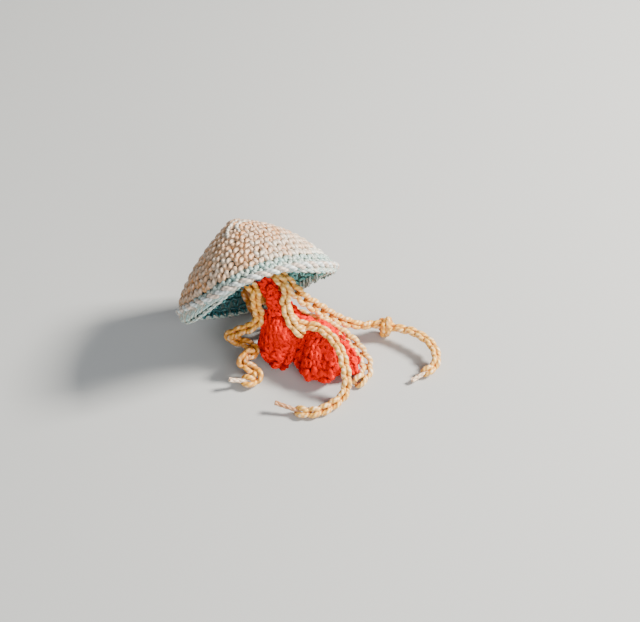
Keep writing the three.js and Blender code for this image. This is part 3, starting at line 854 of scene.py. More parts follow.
def knot_route():
    """Two turns round the chain, side by side, where it is tied."""
    steps = 48
    line = []
    for step in range(steps + 1):
        share = step / steps
        angle = 2 * math.pi * KNOT_TURNS * share + KNOT_START
        x = KNOT_WIDTH * KNOT_REACH * (2 * share - 1)
        y = (KNOT_WIDTH / 2 - KNOT_INSETS[0]) * math.sin(angle)
        z = (KNOT_HEIGHT / 2 - KNOT_INSETS[1]) * math.cos(angle)
        line.append((
            KNOT_CENTRE[0] + x,
            KNOT_CENTRE[1] + y * math.cos(KNOT_LEAN) - z * math.sin(KNOT_LEAN),
            KNOT_CENTRE[2] + y * math.sin(KNOT_LEAN) + z * math.cos(KNOT_LEAN),
        ))
    return even(line, ROUTE_STEP)


def tail_piece(name, route, tip, tint, material):
    """The bare thread beyond a chain's last link: three plies, a little open at the cut."""
    start = route[-1] - directions(route)[-1] * TAIL_WIDTH
    middle = (start + np.array(tip)) / 2
    line = smooth_line([start, middle, tip], TAIL_STEP)
    opening = np.interp(np.linspace(0, 1, len(line)), (0, 0.7, 1), (0.20, 0.22, 0.30)) * TAIL_WIDTH
    strands = twisted(line, 3, opening, TAIL_PITCH)
    for strand in strands:
        strand[:, 2] = np.maximum(strand[:, 2], TAIL_GAP)
    carrier = line_pattern(f"{name}_lines", strands, 1.0, [tint] * 3)
    return grow(name, carrier, STRANDS, material, TAIL_YARN, line)


def add_tentacles(cream_cotton, shaded_cream_cotton, tail_cotton):
    """The seven crochet chains, each one cord, with the knot on the right one and the cut ends of three."""
    link = link_pattern()
    for name, points in ROUTES.items():
        route = smooth_line(points, ROUTE_STEP)
        # chains in the cup's shade take the darker copy of the cream cotton, a painted shade
        cotton = shaded_cream_cotton if name in SHADED_CHAINS else cream_cotton
        lie = CHAIN_LIE[name]
        tints = CHAIN_TINT[name]
        piece = chain_piece(f"chain_of_{name}", route, lie, tints, CHAIN_DEPTH, link, cotton, CHAIN_YARN)
        if name == "right":
            knot = chain_piece("knot", knot_route(), KNOT_LIE, (0.0,), KNOT_DEPTH, link, cotton, KNOT_YARN)
            settle(knot, ["tentacle_right_knot"])
        if name in TAILS:
            tail = tail_piece(f"tail_of_{name}", route, *TAILS[name], tail_cotton)
            settle(tail, [f"tentacle_{name}_tail"])
        nodes = [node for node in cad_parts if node.startswith(f"tentacle_{name}")]
        settle(piece, [node for node in nodes if not node.endswith(("_tail", "_knot"))])


# The cup ------------------------------------------------------------------------------------------

WALL_COLUMNS = 64
CROWN_WALL_INSETS = (0.0008, 0.00055)  # how far a wall lies below the stitches, outside and inside
CROWN_WALL_TIPS = (0.0008, 0.0005)  # and how far at the tip, below the outside and above the lining
BRIM_WALL_INSETS = (0.0009, 0.0006)
BRIM_WALL_LEVELS = np.array([BRIM_HEIGHT, 0.0042, 0.0030, 0.0020])
WALL_TINTS = (0.4, 0.8)  # of the wall behind the crown, and of the one behind the brim
LIP_INSETS = ((-0.0010, 0.0004), (0.0003, 0.0014))  # by the lip's level, how far it lies inside the rim
LIP_GAP = 0.0008  # between the table and the lip's middle
LIP_TWIST = 0.00030  # from the lip's middle to the middle of each of its two strands
BRAID_STAND = 0.0001  # how far the braid's middle stands out of the cup's outside
RIM_POINTS = 240
FRINGE_TURNS = (284, 294, 298, 302, 306, 310)  # degrees round the rim
FRINGE_SPAN = 4.5  # degrees from one foot of a loop to the other
FRINGE_FEET = (0.0016, 0.0012)  # the levels of its two feet
FRINGE_STEP = 0.0003
TIP_LOOPS = [
    [(148, 0.0180), (144, 0.0203), (150, 0.0221), (182, 0.0232), (200, 0.0221)],
    [(168, 0.0190), (165, 0.0206), (182, 0.0219), (215, 0.0214)],
]  # raised loops by the tip, by the angle round the cup in degrees and the level
TIP_LOOP_STAND = 0.0002  # how far their middles stand out of the cup's outside
TIP_LOOP_STEP = 0.0004
TIP_FULLNESS = 4.2  # the least width of a round's stitches together, in radii of the cup at its foot
CROWN_LIT_FROM = -0.004  # the X where the crown's thread begins to turn paler, painted light from the side of the key light
CROWN_LIT_OVER = 0.022  # and how far on it is palest
CROWN_PALE_LEVEL = 0.0100  # the level below which it turns paler still
CROWN_PALE_FALL = 0.003  # and how far below it that is done
BRIM_PEACH_TO = -0.020  # up to this X the brim has more of its peach
LINING_LIT_FROM = 0.004  # from this X the lining is pale, painted light where light comes into the cup; short of it it is dark, painted shade


def cup_radius(level, radius, top):
    share = min(max(level / top, 0.0), 1.0)
    return radius * (1 - share**CUP_SHOULDER) ** CUP_ROUNDING


def cup_wave(angle, level):
    fade = min(max(1 - level / CUP_WAVE_REACH, 0.0), 1.0) ** CUP_WAVE_FADE
    return fade * sum(depth * math.cos(count * (angle - heading)) for count, depth, heading in CUP_WAVES)


def cup_point(radius, angle, level):
    """A point of the cup by its distance from the axis, its angle round it and its level above the rim.
    What would go below the table is pressed up onto it."""
    height = level + cup_wave(angle, level)
    sway = -CUP_SWAY * math.sin(2 * math.pi * level / CUP_SWAY_CYCLE)
    x = radius * math.cos(angle) + sway * math.cos(CUP_SWAY_HEADING)
    y = radius * math.sin(angle) + sway * math.sin(CUP_SWAY_HEADING)
    above = CUP_CENTRE[2] - x * math.sin(CUP_TILT) + height * math.cos(CUP_TILT)
    lift = max(0.0, -above)
    local = np.array([x - lift * math.sin(CUP_TILT), y, height + lift * math.cos(CUP_TILT)])
    return CUP_CENTRE + CUP_TURN @ local


def outer(angle, level, inset=0.0):
    return cup_point(max(0.0, cup_radius(level, CUP_RADIUS, CUP_HEIGHT) - inset), angle, level)


def inner(angle, level, inset=0.0):
    return cup_point(max(0.0, cup_radius(level, LINING_RADIUS, LINING_HEIGHT) + inset), angle, level)


def surface_frame(surface, angle, level):
    """Where a surface's point is, which way it faces, and which way its level rises."""
    turn = 0.02
    rise = 0.0001
    up = unit(surface(angle, level + rise) - surface(angle, level - rise))
    around = surface(angle + turn, level) - surface(angle - turn, level)
    out = np.cross(around, up)
    if np.linalg.norm(out) < 1e-12:
        out = CUP_TURN @ np.array([0.0, 0.0, 1.0])
    return surface(angle, level), unit(out), up


def level_table(radius, top):
    """Levels from the tip down to the rim, with how far down the fabric each one is."""
    levels = top * (1 - np.linspace(0, 1, 400) ** 2.0)
    radii = np.array([cup_radius(level, radius, top) for level in levels])
    steps = np.hypot(np.diff(levels), np.diff(radii))
    return np.concatenate([[0.0], np.cumsum(steps)]), levels


def rounds_of(surface, from_level, to_level, height, tint_at):
    """Stitches in rounds over the cup's outside or its lining, from a high level to a low one."""
    lined = surface is inner
    radius, top = (LINING_RADIUS, LINING_HEIGHT) if lined else (CUP_RADIUS, CUP_HEIGHT)
    runs, levels = level_table(radius, top)
    start = float(np.interp(-from_level, -levels, runs))
    stop = float(np.interp(-to_level, -levels, runs))
    rounds = max(1, round((stop - start) / height))
    step = (stop - start) / rounds
    stitches = Stitches()
    shift = 0.0
    for index in range(rounds):
        foot = start + (index + 1) * step
        level = float(np.interp(foot, runs, levels))
        middle = float(np.interp(foot - step / 2, runs, levels))
        around = 2 * math.pi * cup_radius(middle, radius, top)
        count = max(6, round(around / STITCH_WIDTH))
        wide = max(around, TIP_FULLNESS * cup_radius(level, radius, top)) / count
        shift += 0.5 + 0.35 * chance.random()
        for stitch in range(count):
            angle = 2 * math.pi * (stitch + shift + stray(0.06)) / count
            place, outward, up = surface_frame(surface, angle, level)
            if lined:
                outward = -outward
            slant = 0.30 + stray(0.10)
            toward = unit(up + slant * np.cross(up, outward))
            tall = 1.0 + stray(0.07)
            size = (wide * (1 + stray(0.05)), step * tall, MM)
            cell = ((angle / math.pi) % 2 / 2, foot / MAP_DEPTH, 0.0)
            stitches.put(place, outward, toward, size, tint_at(angle, middle), cell)
    return stitches


def single_crochet(leg_tint=0.25, cap_tint=-0.1):
    """The right side of one stitch: two plump legs that open towards the tip, under a slanting loop."""
    leg = [(-0.06, 0.04, -1.25), (-0.14, 0.24, -0.55), (-0.26, 0.48, -0.25), (-0.37, 0.72, -0.45),
           (-0.42, 0.92, -1.25)]
    cap = [(-0.50, 0.90, -1.35), (-0.20, 1.00, -1.00), (0.20, 1.04, -1.00), (0.50, 1.06, -1.35)]
    threads = [(leg, 0.24, 1.12), (mirrored(leg), 0.24, 1.12), (cap, 0.26, 0.75)]
    return drawn_stitch("single_crochet", threads, 2.8, [leg_tint, leg_tint, cap_tint])


def wrong_side():
    """The wrong side of one stitch: a bar across, over two short legs."""
    bar = [(-0.52, 0.70, -0.30), (-0.25, 0.82, 0.05), (0.25, 0.82, 0.05), (0.52, 0.70, -0.30)]
    leg = [(-0.10, 0.02, -0.30), (-0.20, 0.30, -0.05), (-0.30, 0.62, -0.30)]
    threads = [(bar, 0.3, 0.95), (leg, 0.25, 0.85), (mirrored(leg), 0.25, 0.85)]
    return drawn_stitch("wrong_side", threads, 2.8)


def slanting_strand():
    """One long strand of the flange below the braid, lying nearly along the rim."""
    low = [(-1.3, -0.05, -0.75), (-0.6, 0.15, -0.30), (0.4, 0.60, -0.30), (1.1, 1.0, -0.75)]
    return drawn_stitch("slanting_strand", [(low, 0.45, 1.0)], 1.7, ends=1.0)


def ring_shell(name, rings, *ends):
    """A closed skin over rings of points. With the two end points it is a dome's wall or a solid core,
    and without them a band that closes on itself."""
    columns = len(rings[0])
    points = [point for ring in rings for point in ring]
    faces = []
    rows = len(rings)
    for row in range(rows - 1 if ends else rows):
        below = ((row + 1) % rows) * columns
        for spot in range(columns):
            after = (spot + 1) % columns
            faces.append((row * columns + spot, below + spot, below + after, row * columns + after))
    if ends:
        points += ends
        base = (rows - 1) * columns
        for spot in range(columns):
            after = (spot + 1) % columns
            faces.append((len(points) - 2, spot, after))
            faces.append((base + spot, len(points) - 1, base + after))
    return pattern(name, points, (), faces)


def cup_wall(name, outer_levels, inner_levels, insets, tint, *ends):
    """A thin closed wall between the stitches and the lining: rings down its outside, and up its inside."""
    angles = [2 * math.pi * spot / WALL_COLUMNS for spot in range(WALL_COLUMNS)]
    rings = [[outer(angle, level, insets[0]) for angle in angles] for level in outer_levels]
    rings += [[inner(angle, level, insets[1]) for angle in angles] for level in inner_levels[::-1]]
    wall = ring_shell(name, rings, *ends)
    keep(wall.data, "tint", np.full(len(wall.data.vertices), tint))
    return wall


def ridge_level(angle):
    """The level of the braid round the brim, which drops towards the side where the brim turns in."""
    return float(np.interp(outer(angle, 0.0)[0], *zip(*RIDGE_LEVELS)))


def lip_level(angle):
    """The level of the lip, which is drawn up in the middle of the side that leans on the arms."""
    return float(np.interp(math.degrees(angle) % 360, *zip(*LIP_LEVELS)))


def flange_places():
    """Strands between the lip and the braid above it, which lean along the rim."""
    stitches = Stitches()
    count = round(2 * math.pi * CUP_RADIUS / FLANGE_PITCH)
    for strand in range(count):
        angle = 2 * math.pi * (strand + stray(0.2)) / count
        lip = lip_level(angle)
        place, outward, up = surface_frame(outer, angle, lip)
        tall = max(FLANGE_LEAST, ridge_level(angle) - lip) * (1 + stray(0.15))
        wide = FLANGE_SLANT * (1 + stray(0.2))
        tint = 0.75 + stray(0.25)
        leaning = unit(up + 0.5 * np.cross(up, outward))
        stitches.put(place, outward, leaning, (wide, tall, MM), tint, (strand / count, 0.9, 0.0))
    return stitches


def rim_cords():
    """The braid's line, and the lip's below it."""
    turns = -np.linspace(0, 2 * math.pi, RIM_POINTS)
    braid = np.array([outer(turn, ridge_level(turn), -BRAID_STAND) for turn in turns])
    lips = [lip_level(turn) for turn in turns]
    insets = np.interp(lips, *LIP_INSETS)
    lip = np.array([outer(turn, level, inset) for turn, level, inset in zip(turns, lips, insets)])
    lip[:, 2] = np.maximum(lip[:, 2], LIP_GAP)
    return braid, lip


def fringe_lines():
    """Loose loops of thread that hang from the far side of the rim."""
    loops = []
    for turn in FRINGE_TURNS:
        start = inner(math.radians(turn), FRINGE_FEET[0])
        stop = inner(math.radians(turn + FRINGE_SPAN), FRINGE_FEET[1])
        long = FRINGE_LENGTH * (1 + stray(0.25))
        low = (start + stop) / 2 + long * unit(np.array([stray(0.1), -0.5, -1.0]))
        side = 0.35 * (stop - start)
        loops.append(smooth_line([start, low - side, low + side, stop], FRINGE_STEP))
    return loops


def crown_tint(angle, level):
    """The crown's thread is paler towards +X, painted light on the side that the key light comes from, and
    paler still near the brim, partly its own paler rows and partly painted light, as that is mostly on the
    lit side.
    """
    lit = np.clip((outer(angle, level)[0] - CROWN_LIT_FROM) / CROWN_LIT_OVER, 0, 1)
    low_down = np.clip((CROWN_PALE_LEVEL - level) / CROWN_PALE_FALL, 0, 1)
    return 0.02 + 0.50 * lit + 0.25 * low_down * (0.2 + 0.8 * lit) + stray(0.14)


def brim_tint(angle, level):
    return 0.80 + stray(0.08) - 0.4 * (outer(angle, level)[0] < BRIM_PEACH_TO)


# The lining is dark teal towards -X, its aqua darkened as painted shade inside the cup, and pale towards
# +X, painted light where light comes in.
def lining_tint(angle, level):
    return 0.1 + 0.9 * (inner(angle, level)[0] > LINING_LIT_FROM) + stray(0.1)


def add_crown(crown_cotton, lining_cotton):
    """The crown's stitches, with two raised loops by the tip, and the lining with the wall behind it."""
    places = rounds_of(outer, CUP_HEIGHT, BRIM_HEIGHT, STITCH_HEIGHT, crown_tint)
    body = stitched("crown_body", places, single_crochet(), crown_cotton, CROWN_YARN)
    loops = []
    for loop in TIP_LOOPS:
        points = [outer(math.radians(angle), level, -TIP_LOOP_STAND) for angle, level in loop]
        loops.append(smooth_line(points, TIP_LOOP_STEP))
    lines = line_pattern("tip_lines", loops, [tapered(loop, 1.0, 0.7) for loop in loops], 0.9)
    tip = grow("tip_loops", lines, STRANDS, crown_cotton, TIP_YARN, np.concatenate(loops))
    settle(joined("crown_stitches", [body, tip]), ["cup_crown"])

    shares = np.linspace(0.06, 1, 16) ** 1.6
    wall = cup_wall(
        "crown_wall", CUP_HEIGHT * (1 - shares) + BRIM_HEIGHT * shares,
        LINING_HEIGHT * (1 - shares) + BRIM_HEIGHT * shares, CROWN_WALL_INSETS, WALL_TINTS[0],
        outer(0, CUP_HEIGHT - CROWN_WALL_TIPS[0]), inner(0, LINING_HEIGHT + CROWN_WALL_TIPS[1]),
    )
    places = rounds_of(inner, LINING_HEIGHT, 0.0, STITCH_HEIGHT, lining_tint)
    lining = stitched("lining_stitches", places, wrong_side(), lining_cotton, LINING_YARN, wall)
    settle(lining, ["cup_crown"])


def add_brim(brim_cotton, braid_cotton):
    """The brim below the crown: a round of stitches, the braid, the flange, the lip and a loose fringe."""
    wall = cup_wall("brim_wall", BRIM_WALL_LEVELS, BRIM_WALL_LEVELS, BRIM_WALL_INSETS, WALL_TINTS[1])
    upper = rounds_of(outer, BRIM_HEIGHT, BRIM_FOOT, BRIM_STITCH_HEIGHT, brim_tint)
    fringe = fringe_lines()
    braid, lip = rim_cords()
    lip_lines = line_pattern("lip_lines", twisted(lip, 2, LIP_TWIST, LIP_PITCH), 1.0, [0.6, 0.9])
    fringe_carrier = line_pattern("fringe_lines", fringe, 1.0, [0.9] * len(fringe))
    parts = [
        stitched("brim_round", upper, single_crochet(0.0, 0.0), brim_cotton, BRIM_YARN, wall),
        stitched("brim_flange", flange_places(), slanting_strand(), brim_cotton, FLANGE_YARN),
        grow("brim_lip", lip_lines, STRANDS, brim_cotton, LIP_YARN, lip),
        grow("brim_fringe", fringe_carrier, STRANDS, brim_cotton, FRINGE_YARN, np.concatenate(fringe)),
    ]
    settle(joined("brim_stitches", parts), ["cup_brim"])
    braid_strands = twisted(braid, 2, BRAID_THREAD * 0.9, BRAID_PITCH)
    braid_lines = line_pattern("braid_lines", braid_strands, 1.0, [1.0, 0.35])
    rope = grow("brim_rope", braid_lines, STRANDS, braid_cotton, BRAID_YARN, braid)
    settle(rope, ["cup_brim"])


# Oral arms ----------------------------------------------------------------------------------------

# rows says where the upper rows of stitches begin, where the edge begins and where it ends, as shares of
# the way from a frill's top to its foot. edge_lay swings the edge's stitches from upright to level.
LEFT_FRILL = {
    "top": (0.0039, -0.0061, 0.0162), "foot": (0.0045, -0.0090), "radius_x": 0.0059, "radius_y": 0.0058,
    "droop": 0.22, "ribs": 8, "rib_depth": 0.06, "dent_at": math.radians(20), "dent_width": 0.5,
    "dent": 0.2, "rows": (0.05, 0.80, 0.94), "edge_lay": 0.9,
}
RIGHT_FRILL = {
    "top": (0.0158, -0.0082, 0.0144), "foot": (0.0170, -0.0118), "radius_x": 0.0085, "radius_y": 0.0085,
    "droop": 0.25, "ribs": 9, "rib_depth": 0.08, "dent_at": math.radians(205), "dent_width": 0.45,
    "dent": 0.4, "rows": (0.06, 0.52, 0.90), "edge_lay": 0.3,
}
LEFT_STEM = [
    (-0.0089, 0.0102, 0.0310), (-0.0052, 0.0032, 0.0302), (-0.0002, -0.0032, 0.0284),
    (0.0012, -0.0044, 0.0261), (0.0022, -0.0047, 0.0240), (0.0031, -0.0049, 0.0211),
    (0.0035, -0.0055, 0.0174),
]
LEFT_STEM_WIDTHS = (0.0034, 0.0036, 0.0035, 0.0034, 0.0042)
RIGHT_STEM = [
    (-0.0076, 0.0127, 0.0285), (-0.0028, 0.0065, 0.0246), (0.0028, 0.0014, 0.0198),
    (0.0048, -0.0012, 0.0166), (0.0072, -0.0031, 0.0142), (0.0101, -0.0049, 0.0123),
    (0.0134, -0.0066, 0.0117),
]
RIGHT_STEM_WIDTHS = (0.0034, 0.0036, 0.0040, 0.0050, 0.0056)
FOLDS = {
    "left": ([(0.0018, -0.0046, 0.0155), (0.0004, -0.0046, 0.0136), (0.0002, -0.0054, 0.0114),
              (0.0010, -0.0062, 0.0094)], (0.0020, 0.0026, 0.0030, 0.0030)),
    "right": ([(0.0225, -0.0100, 0.0085), (0.0250, -0.0118, 0.0062), (0.0262, -0.0142, 0.0038),
               (0.0260, -0.0162, 0.0022)], (0.0028, 0.0032, 0.0034, 0.0030)),
}  # a small fold of wool that stands out beside each frill: its middle, and how wide it is
ARMS = {
    "left": (LEFT_FRILL, LEFT_STEM, LEFT_STEM_WIDTHS),
    "right": (RIGHT_FRILL, RIGHT_STEM, RIGHT_STEM_WIDTHS),
}
LEFT_WINDING = (0.62, -0.62, 0.48)  # the direction that the left frill's rows of stitches wind about
WINDING_REACH = 2.5  # how far from that direction the rows go, as an angle
WINDING_INSET = 0.0004
WINDING_STRAY = 0.0001
ROW_CLOSENESS = 0.9  # how close rows of wool lie, as a share of a stitch's height
FRILL_CLOSENESS = 0.9  # how close the stitches in a frill's row stand, as a share of their width
WOUND_CLOSENESS = 0.8  # and in a row that winds round a stem or the left frill
UPPER_LAY = 0.1  # how far the right frill's upper stitches swing from upright
RIBS_BETWEEN = (0.15, 0.8)  # shares of the way down a frill where its ribs begin and are full
DENT_BETWEEN = (0.05, 0.4)  # shares of the way up it where its dent begins and is full
RIB_RISE = 0.0006  # half of how far the frill's foot is drawn up between two ribs
FRILL_SINK = 0.0003  # how far the frill is pressed down by its weight
FRILL_GAP = 0.0004  # between the table and the lowest point
FRILL_WALL_INSET = 0.0006  # how far a wall or a core lies below the stitches
FRILL_WALL_FOOT = 0.0003  # the height of the wall's lowest point
STEM_WALL_INSET = 0.0006
STEM_WALL_STEP = 0.0012
CORE_END = 0.0008  # how far a core's end goes beyond its line, or stays below a frill's top
STRAIGHT = 1e6  # a pitch so long that nothing winds


def ease(value, low, high):
    share = min(max((value - low) / (high - low), 0.0), 1.0)
    return share * share * (3 - 2 * share)


def frill_point(frill, turn, angle, inset=0.0):
    """A point of a frill. turn runs from 0 at its top to pi at its foot."""
    level = (1 + math.cos(turn)) / 2
    fullness = math.sin(turn) * (1 - frill["droop"] * math.cos(turn))
    ribbing = ease(1 - level, *RIBS_BETWEEN)
    away = math.atan2(math.sin(angle - frill["dent_at"]), math.cos(angle - frill["dent_at"]))
    dent = frill["dent"] * math.exp(-((away / frill["dent_width"]) ** 2)) * ease(level, *DENT_BETWEEN)
    rib = 1 + frill["rib_depth"] * ribbing * math.cos(frill["ribs"] * angle)
    spread = fullness * rib * (1 - dent)
    rise = RIB_RISE * ribbing * (1 - math.cos(frill["ribs"] * angle)) * (1 - level)
    top = frill["top"]
    foot = frill["foot"]
    wide = max(0.0, frill["radius_x"] * spread - inset)
    deep = max(0.0, frill["radius_y"] * spread - inset)
    return np.array([
        foot[0] + (top[0] - foot[0]) * level + wide * math.cos(angle),
        foot[1] + (top[1] - foot[1]) * level + deep * math.sin(angle),
        max(FRILL_GAP, top[2] * level + rise - FRILL_SINK),
    ])


def frill_frame(frill, turn, angle):
    small = 0.03
    up = unit(frill_point(frill, turn - small, angle) - frill_point(frill, turn + small, angle))
    around = frill_point(frill, turn, angle + small) - frill_point(frill, turn, angle - small)
    return frill_point(frill, turn, angle), unit(np.cross(around, up)), up


def frill_places(frill, top, foot, lay):
    """Rows of wool stitches down a frill between two turns. lay swings them from upright to level."""
    turns = np.linspace(top, foot, 60)
    front = math.radians(-90)
    profile = np.array([frill_point(frill, turn, front) for turn in turns])
    runs = np.concatenate([[0.0], np.cumsum(np.linalg.norm(np.diff(profile, axis=0), axis=1))])
    rows = max(1, round(runs[-1] / (WOOL_HEIGHT * ROW_CLOSENESS)))
    stitches = Stitches()
    shift = 0.0
    for row in range(rows):
        turn = float(np.interp(runs[-1] * (row + 1) / rows, runs, turns))
        ring = [frill_point(frill, turn, math.radians(degrees)) for degrees in range(0, 361, 6)]
        around = length_of(np.array(ring))
        count = max(5, round(around / (WOOL_WIDTH * FRILL_CLOSENESS)))
        shift += 0.5 + 0.3 * chance.random()
        for stitch in range(count):
            angle = 2 * math.pi * (stitch + shift + stray(0.15)) / count
            place, outward, up = frill_frame(frill, turn, angle)
            swing = lay + stray(0.25)
            toward = unit(math.cos(swing) * up + math.sin(swing) * np.cross(up, outward))
            size = (around / count, runs[-1] / rows * (1 + stray(0.1)), MM)
            cell = (angle / MAP_TURN, turn / MAP_FALL, 0.0)
            stitches.put(place, outward, toward, size, 0.3 * chance.random(), cell)
    return stitches


def wound_places(frill, top, foot, pole):
    """Rows of wool stitches between two turns of a frill, which wind round it as yarn winds round a ball,
    about the pole's direction."""
    pole = unit(np.array(pole, float))
    side = unit(np.cross(pole, (0.0, 0.0, 1.0)))
    lift = np.cross(side, pole)
    width = WOOL_WIDTH * WOUND_CLOSENESS
    ball = (frill["radius_x"] + frill["radius_y"] + frill["top"][2] / 2) / 3
    rows = round(WINDING_REACH / (width / ball))
    stitches = Stitches()
    for row in range(rows):
        away = WINDING_REACH * (row + 0.5) / rows
        around = 2 * math.pi * ball * math.sin(away)
        count = max(4, round(around / WOOL_HEIGHT))
        shift = chance.random()
        for stitch in range(count):
            spots = []
            for phase in (stitch + shift, stitch + shift + 0.5):
                round_it = 2 * math.pi * phase / count
                swing = side * math.cos(round_it) + lift * math.sin(round_it)
                ray = pole * math.cos(away) + swing * math.sin(away)
                spots.append((math.acos(ray[2]), math.atan2(ray[1], ray[0])))
            turn, angle = spots[0]
            if not top < turn < foot:
                continue
            place, outward, _ = frill_frame(frill, turn, angle)
            along = frill_point(frill, *spots[1]) - place
            size = (width * 1.1, 2 * np.linalg.norm(along), MM)
            place = place - outward * WINDING_INSET
            jolt = WINDING_STRAY * chance.standard_normal(3)
            along = unit(along - outward * along.dot(outward) + jolt)
            cell = (angle / MAP_TURN, turn / MAP_FALL, 0.0)
            stitches.put(place, outward, along, size, 0.3 * chance.random(), cell)
    return stitches


def frill_backing(name, frill):
    columns = 36
    rows = 14
    rings = []
    for row in range(1, rows):
        turn = math.pi * row / rows
        angles = [2 * math.pi * spot / columns for spot in range(columns)]
        rings.append([frill_point(frill, turn, angle, FRILL_WALL_INSET) for angle in angles])
    top = np.array(frill["top"]) - (0.0, 0.0, CORE_END)
    foot = np.array([*frill["foot"], FRILL_WALL_FOOT])
    return ring_shell(name, rings, top, foot)


def wool_stitch():
    """A V of soft wool with a loop over it."""
    leg = [(-0.02, -0.05, -0.90), (-0.17, 0.20, -0.35), (-0.28, 0.52, -0.18), (-0.34, 0.82, -0.45),
           (-0.28, 1.05, -1.00)]
    cap = [(-0.50, 0.85, -1.00), (-0.15, 1.02, -0.55), (0.20, 0.98, -0.55), (0.50, 0.90, -1.00)]
    threads = [(leg, 0.26, 1.0), (mirrored(leg), 0.26, 0.95), (cap, 0.3, 0.8)]
    return drawn_stitch("wool_stitch", threads, 2.5)


def wool_bobble():
    """A plump loop that stands out of the frill's lower edge, with a thinner one beside it."""
    loop = [(0.05, -0.10, -0.80), (0.0, 0.15, 0.0), (-0.05, 0.55, 0.25), (0.0, 0.95, -0.80)]
    beside = [(0.40, 0.0, -0.90), (0.50, 0.35, -0.35), (0.42, 0.75, -0.35), (0.35, 1.05, -0.90)]
    return drawn_stitch("wool_bobble", [(loop, 0.28, 1.35), (beside, 0.28, 0.85)], 2.5, ends=0.7)


def stem_widths(line, widths):
    """How wide a stem is at each point of its line, from widths at even shares of it."""
    return np.interp(np.linspace(0, 1, len(line)), np.linspace(0, 1, len(widths)), widths)


def stem_places(points, widths):
    """Rows of wool stitches round a stem, which point down it."""
    line = smooth_line(points, WOOL_HEIGHT * ROW_CLOSENESS)
    ahead = directions(line)
    side = np.cross(ahead[0], (0.0, 0.0, 1.0))
    stitches = Stitches()
    for row, (place, forward, width) in enumerate(zip(line, ahead, stem_widths(line, widths))):
        side = unit(side - forward * side.dot(forward))
        up = np.cross(forward, side)
        count = max(4, round(math.pi * width / (WOOL_WIDTH * WOUND_CLOSENESS)))
        for stitch in range(count):
            angle = 2 * math.pi * (stitch + 0.5 * row + stray(0.12)) / count
            outward = math.cos(angle) * side + math.sin(angle) * up
            swing = 0.45 + stray(0.15)
            toward = unit(math.cos(swing) * -forward + math.sin(swing) * np.cross(forward, outward))
            foot = place + outward * width / 2
            size = (math.pi * width / count, WOOL_HEIGHT, MM)
            cell = (angle / MAP_TURN, row / MAP_ROWS, 0.0)
            stitches.put(foot, outward, toward, size, 0.25 * chance.random(), cell)
    return stitches


def stem_backing(name, points, widths):
    line = smooth_line(points, STEM_WALL_STEP)
    sides = twisted(line, 10, stem_widths(line, widths) / 2 - STEM_WALL_INSET, STRAIGHT)
    rings = [[side[step] for side in sides] for step in range(len(line))]
    ends = directions(line)
    return ring_shell(name, rings[::-1], line[-1] + ends[-1] * CORE_END, line[0] - ends[0] * CORE_END)


def wisp_pattern():
    wisp = [(0.0, 0.0, -0.05), (0.05, 0.0, 0.35), (0.25, 0.08, 0.62)]
    return line_pattern("wisp", [np.array(wisp)], [np.array([1.0, 0.8, 0.5])], run_unit=1.0)


def add_arms(wool):
    """Two oral arms of red wool, each a stem that spreads into a frill with a small fold beside it."""
    stitch = wool_stitch()
    bobble = wool_bobble()
    wisp = wisp_pattern()

    def stem_piece(name, points, widths):
        wall = stem_backing(f"{name}_wall", points, widths)
        return stitched(name, stem_places(points, widths), stitch, wool, ARM_YARN, wall)

    for side, (frill, points, widths) in ARMS.items():
        stem = stem_piece(f"{side}_stem", points, widths)
        top, edge, foot = (share * math.pi for share in frill["rows"])
        if side == "left":
            upper = wound_places(frill, top, edge, LEFT_WINDING)
        else:
            upper = frill_places(frill, top, edge, UPPER_LAY)
        lower = frill_places(frill, edge, foot, frill["edge_lay"])
        wall = frill_backing(f"{side}_frill_wall", frill)
        mass = joined(f"{side}_frill", [
            stem_piece(f"{side}_fold", *FOLDS[side]),
            stitched(f"{side}_frill_body", upper, stitch, wool, ARM_YARN, wall),
            stitched(f"{side}_edge", lower, bobble, wool, BOBBLE_YARN),
        ])
        for number, (piece, node) in enumerate(((stem, "stem"), (mass, "frill"))):
            fuzz = grow(
                f"{side}_{node}_fuzz", piece, WISPS, wool, FUZZ_YARN, Wisp=wisp, Density=FUZZ_DENSITY,
                Shortest=FUZZ_LENGTHS[0], Longest=FUZZ_LENGTHS[1], Seed=FUZZ_SEED + number,
            )
            settle(piece, [f"oral_arm_{side}_{node}"])
            settle(fuzz, [f"oral_arm_{side}_{node}"])


# The stage ----------------------------------------------------------------------------------------

FLOOR_SIZE = 6.0
FLOOR_COLOUR = (0.50, 0.51, 0.51, 1.0)
ROOM_COLOUR = (0.80, 0.88, 0.95, 1.0)
ROOM_STRENGTH = 0.36
LIGHTS = [
    ("key", (0.60, 0.11, 0.48), 0.16, 19.5, (1.0, 0.95, 0.86)),
    ("fill", (0.25, -0.62, 0.34), 0.50, 4.8, (1.0, 0.98, 0.95)),
]  # place, size, power and colour


def add_stage():
    """A plain pale floor, a soft key from the right and a fill from the front."""
    floor_finish = Finish("floor", Roughness=0.9, Base_Color=FLOOR_COLOUR)
    bpy.ops.mesh.primitive_plane_add(size=FLOOR_SIZE)
    floor = bpy.context.object
    floor.name = "floor"
    floor.data.materials.append(floor_finish.material)
    for name, place, size, power, colour in LIGHTS:
        light = bpy.data.objects.new(name, bpy.data.lights.new(name, "AREA"))
        light.data.size = size
        light.data.energy = power
        light.data.color = colour
        light.location = place
        light.rotation_euler = (-Vector(place)).to_track_quat("-Z", "Y").to_euler()
        bpy.context.collection.objects.link(light)
    world = bpy.data.worlds.new("room")
    world.use_nodes = True
    background = world.node_tree.nodes["Background"]
    background.inputs["Color"].default_value = ROOM_COLOUR
    background.inputs["Strength"].default_value = ROOM_STRENGTH
    bpy.context.scene.world = world
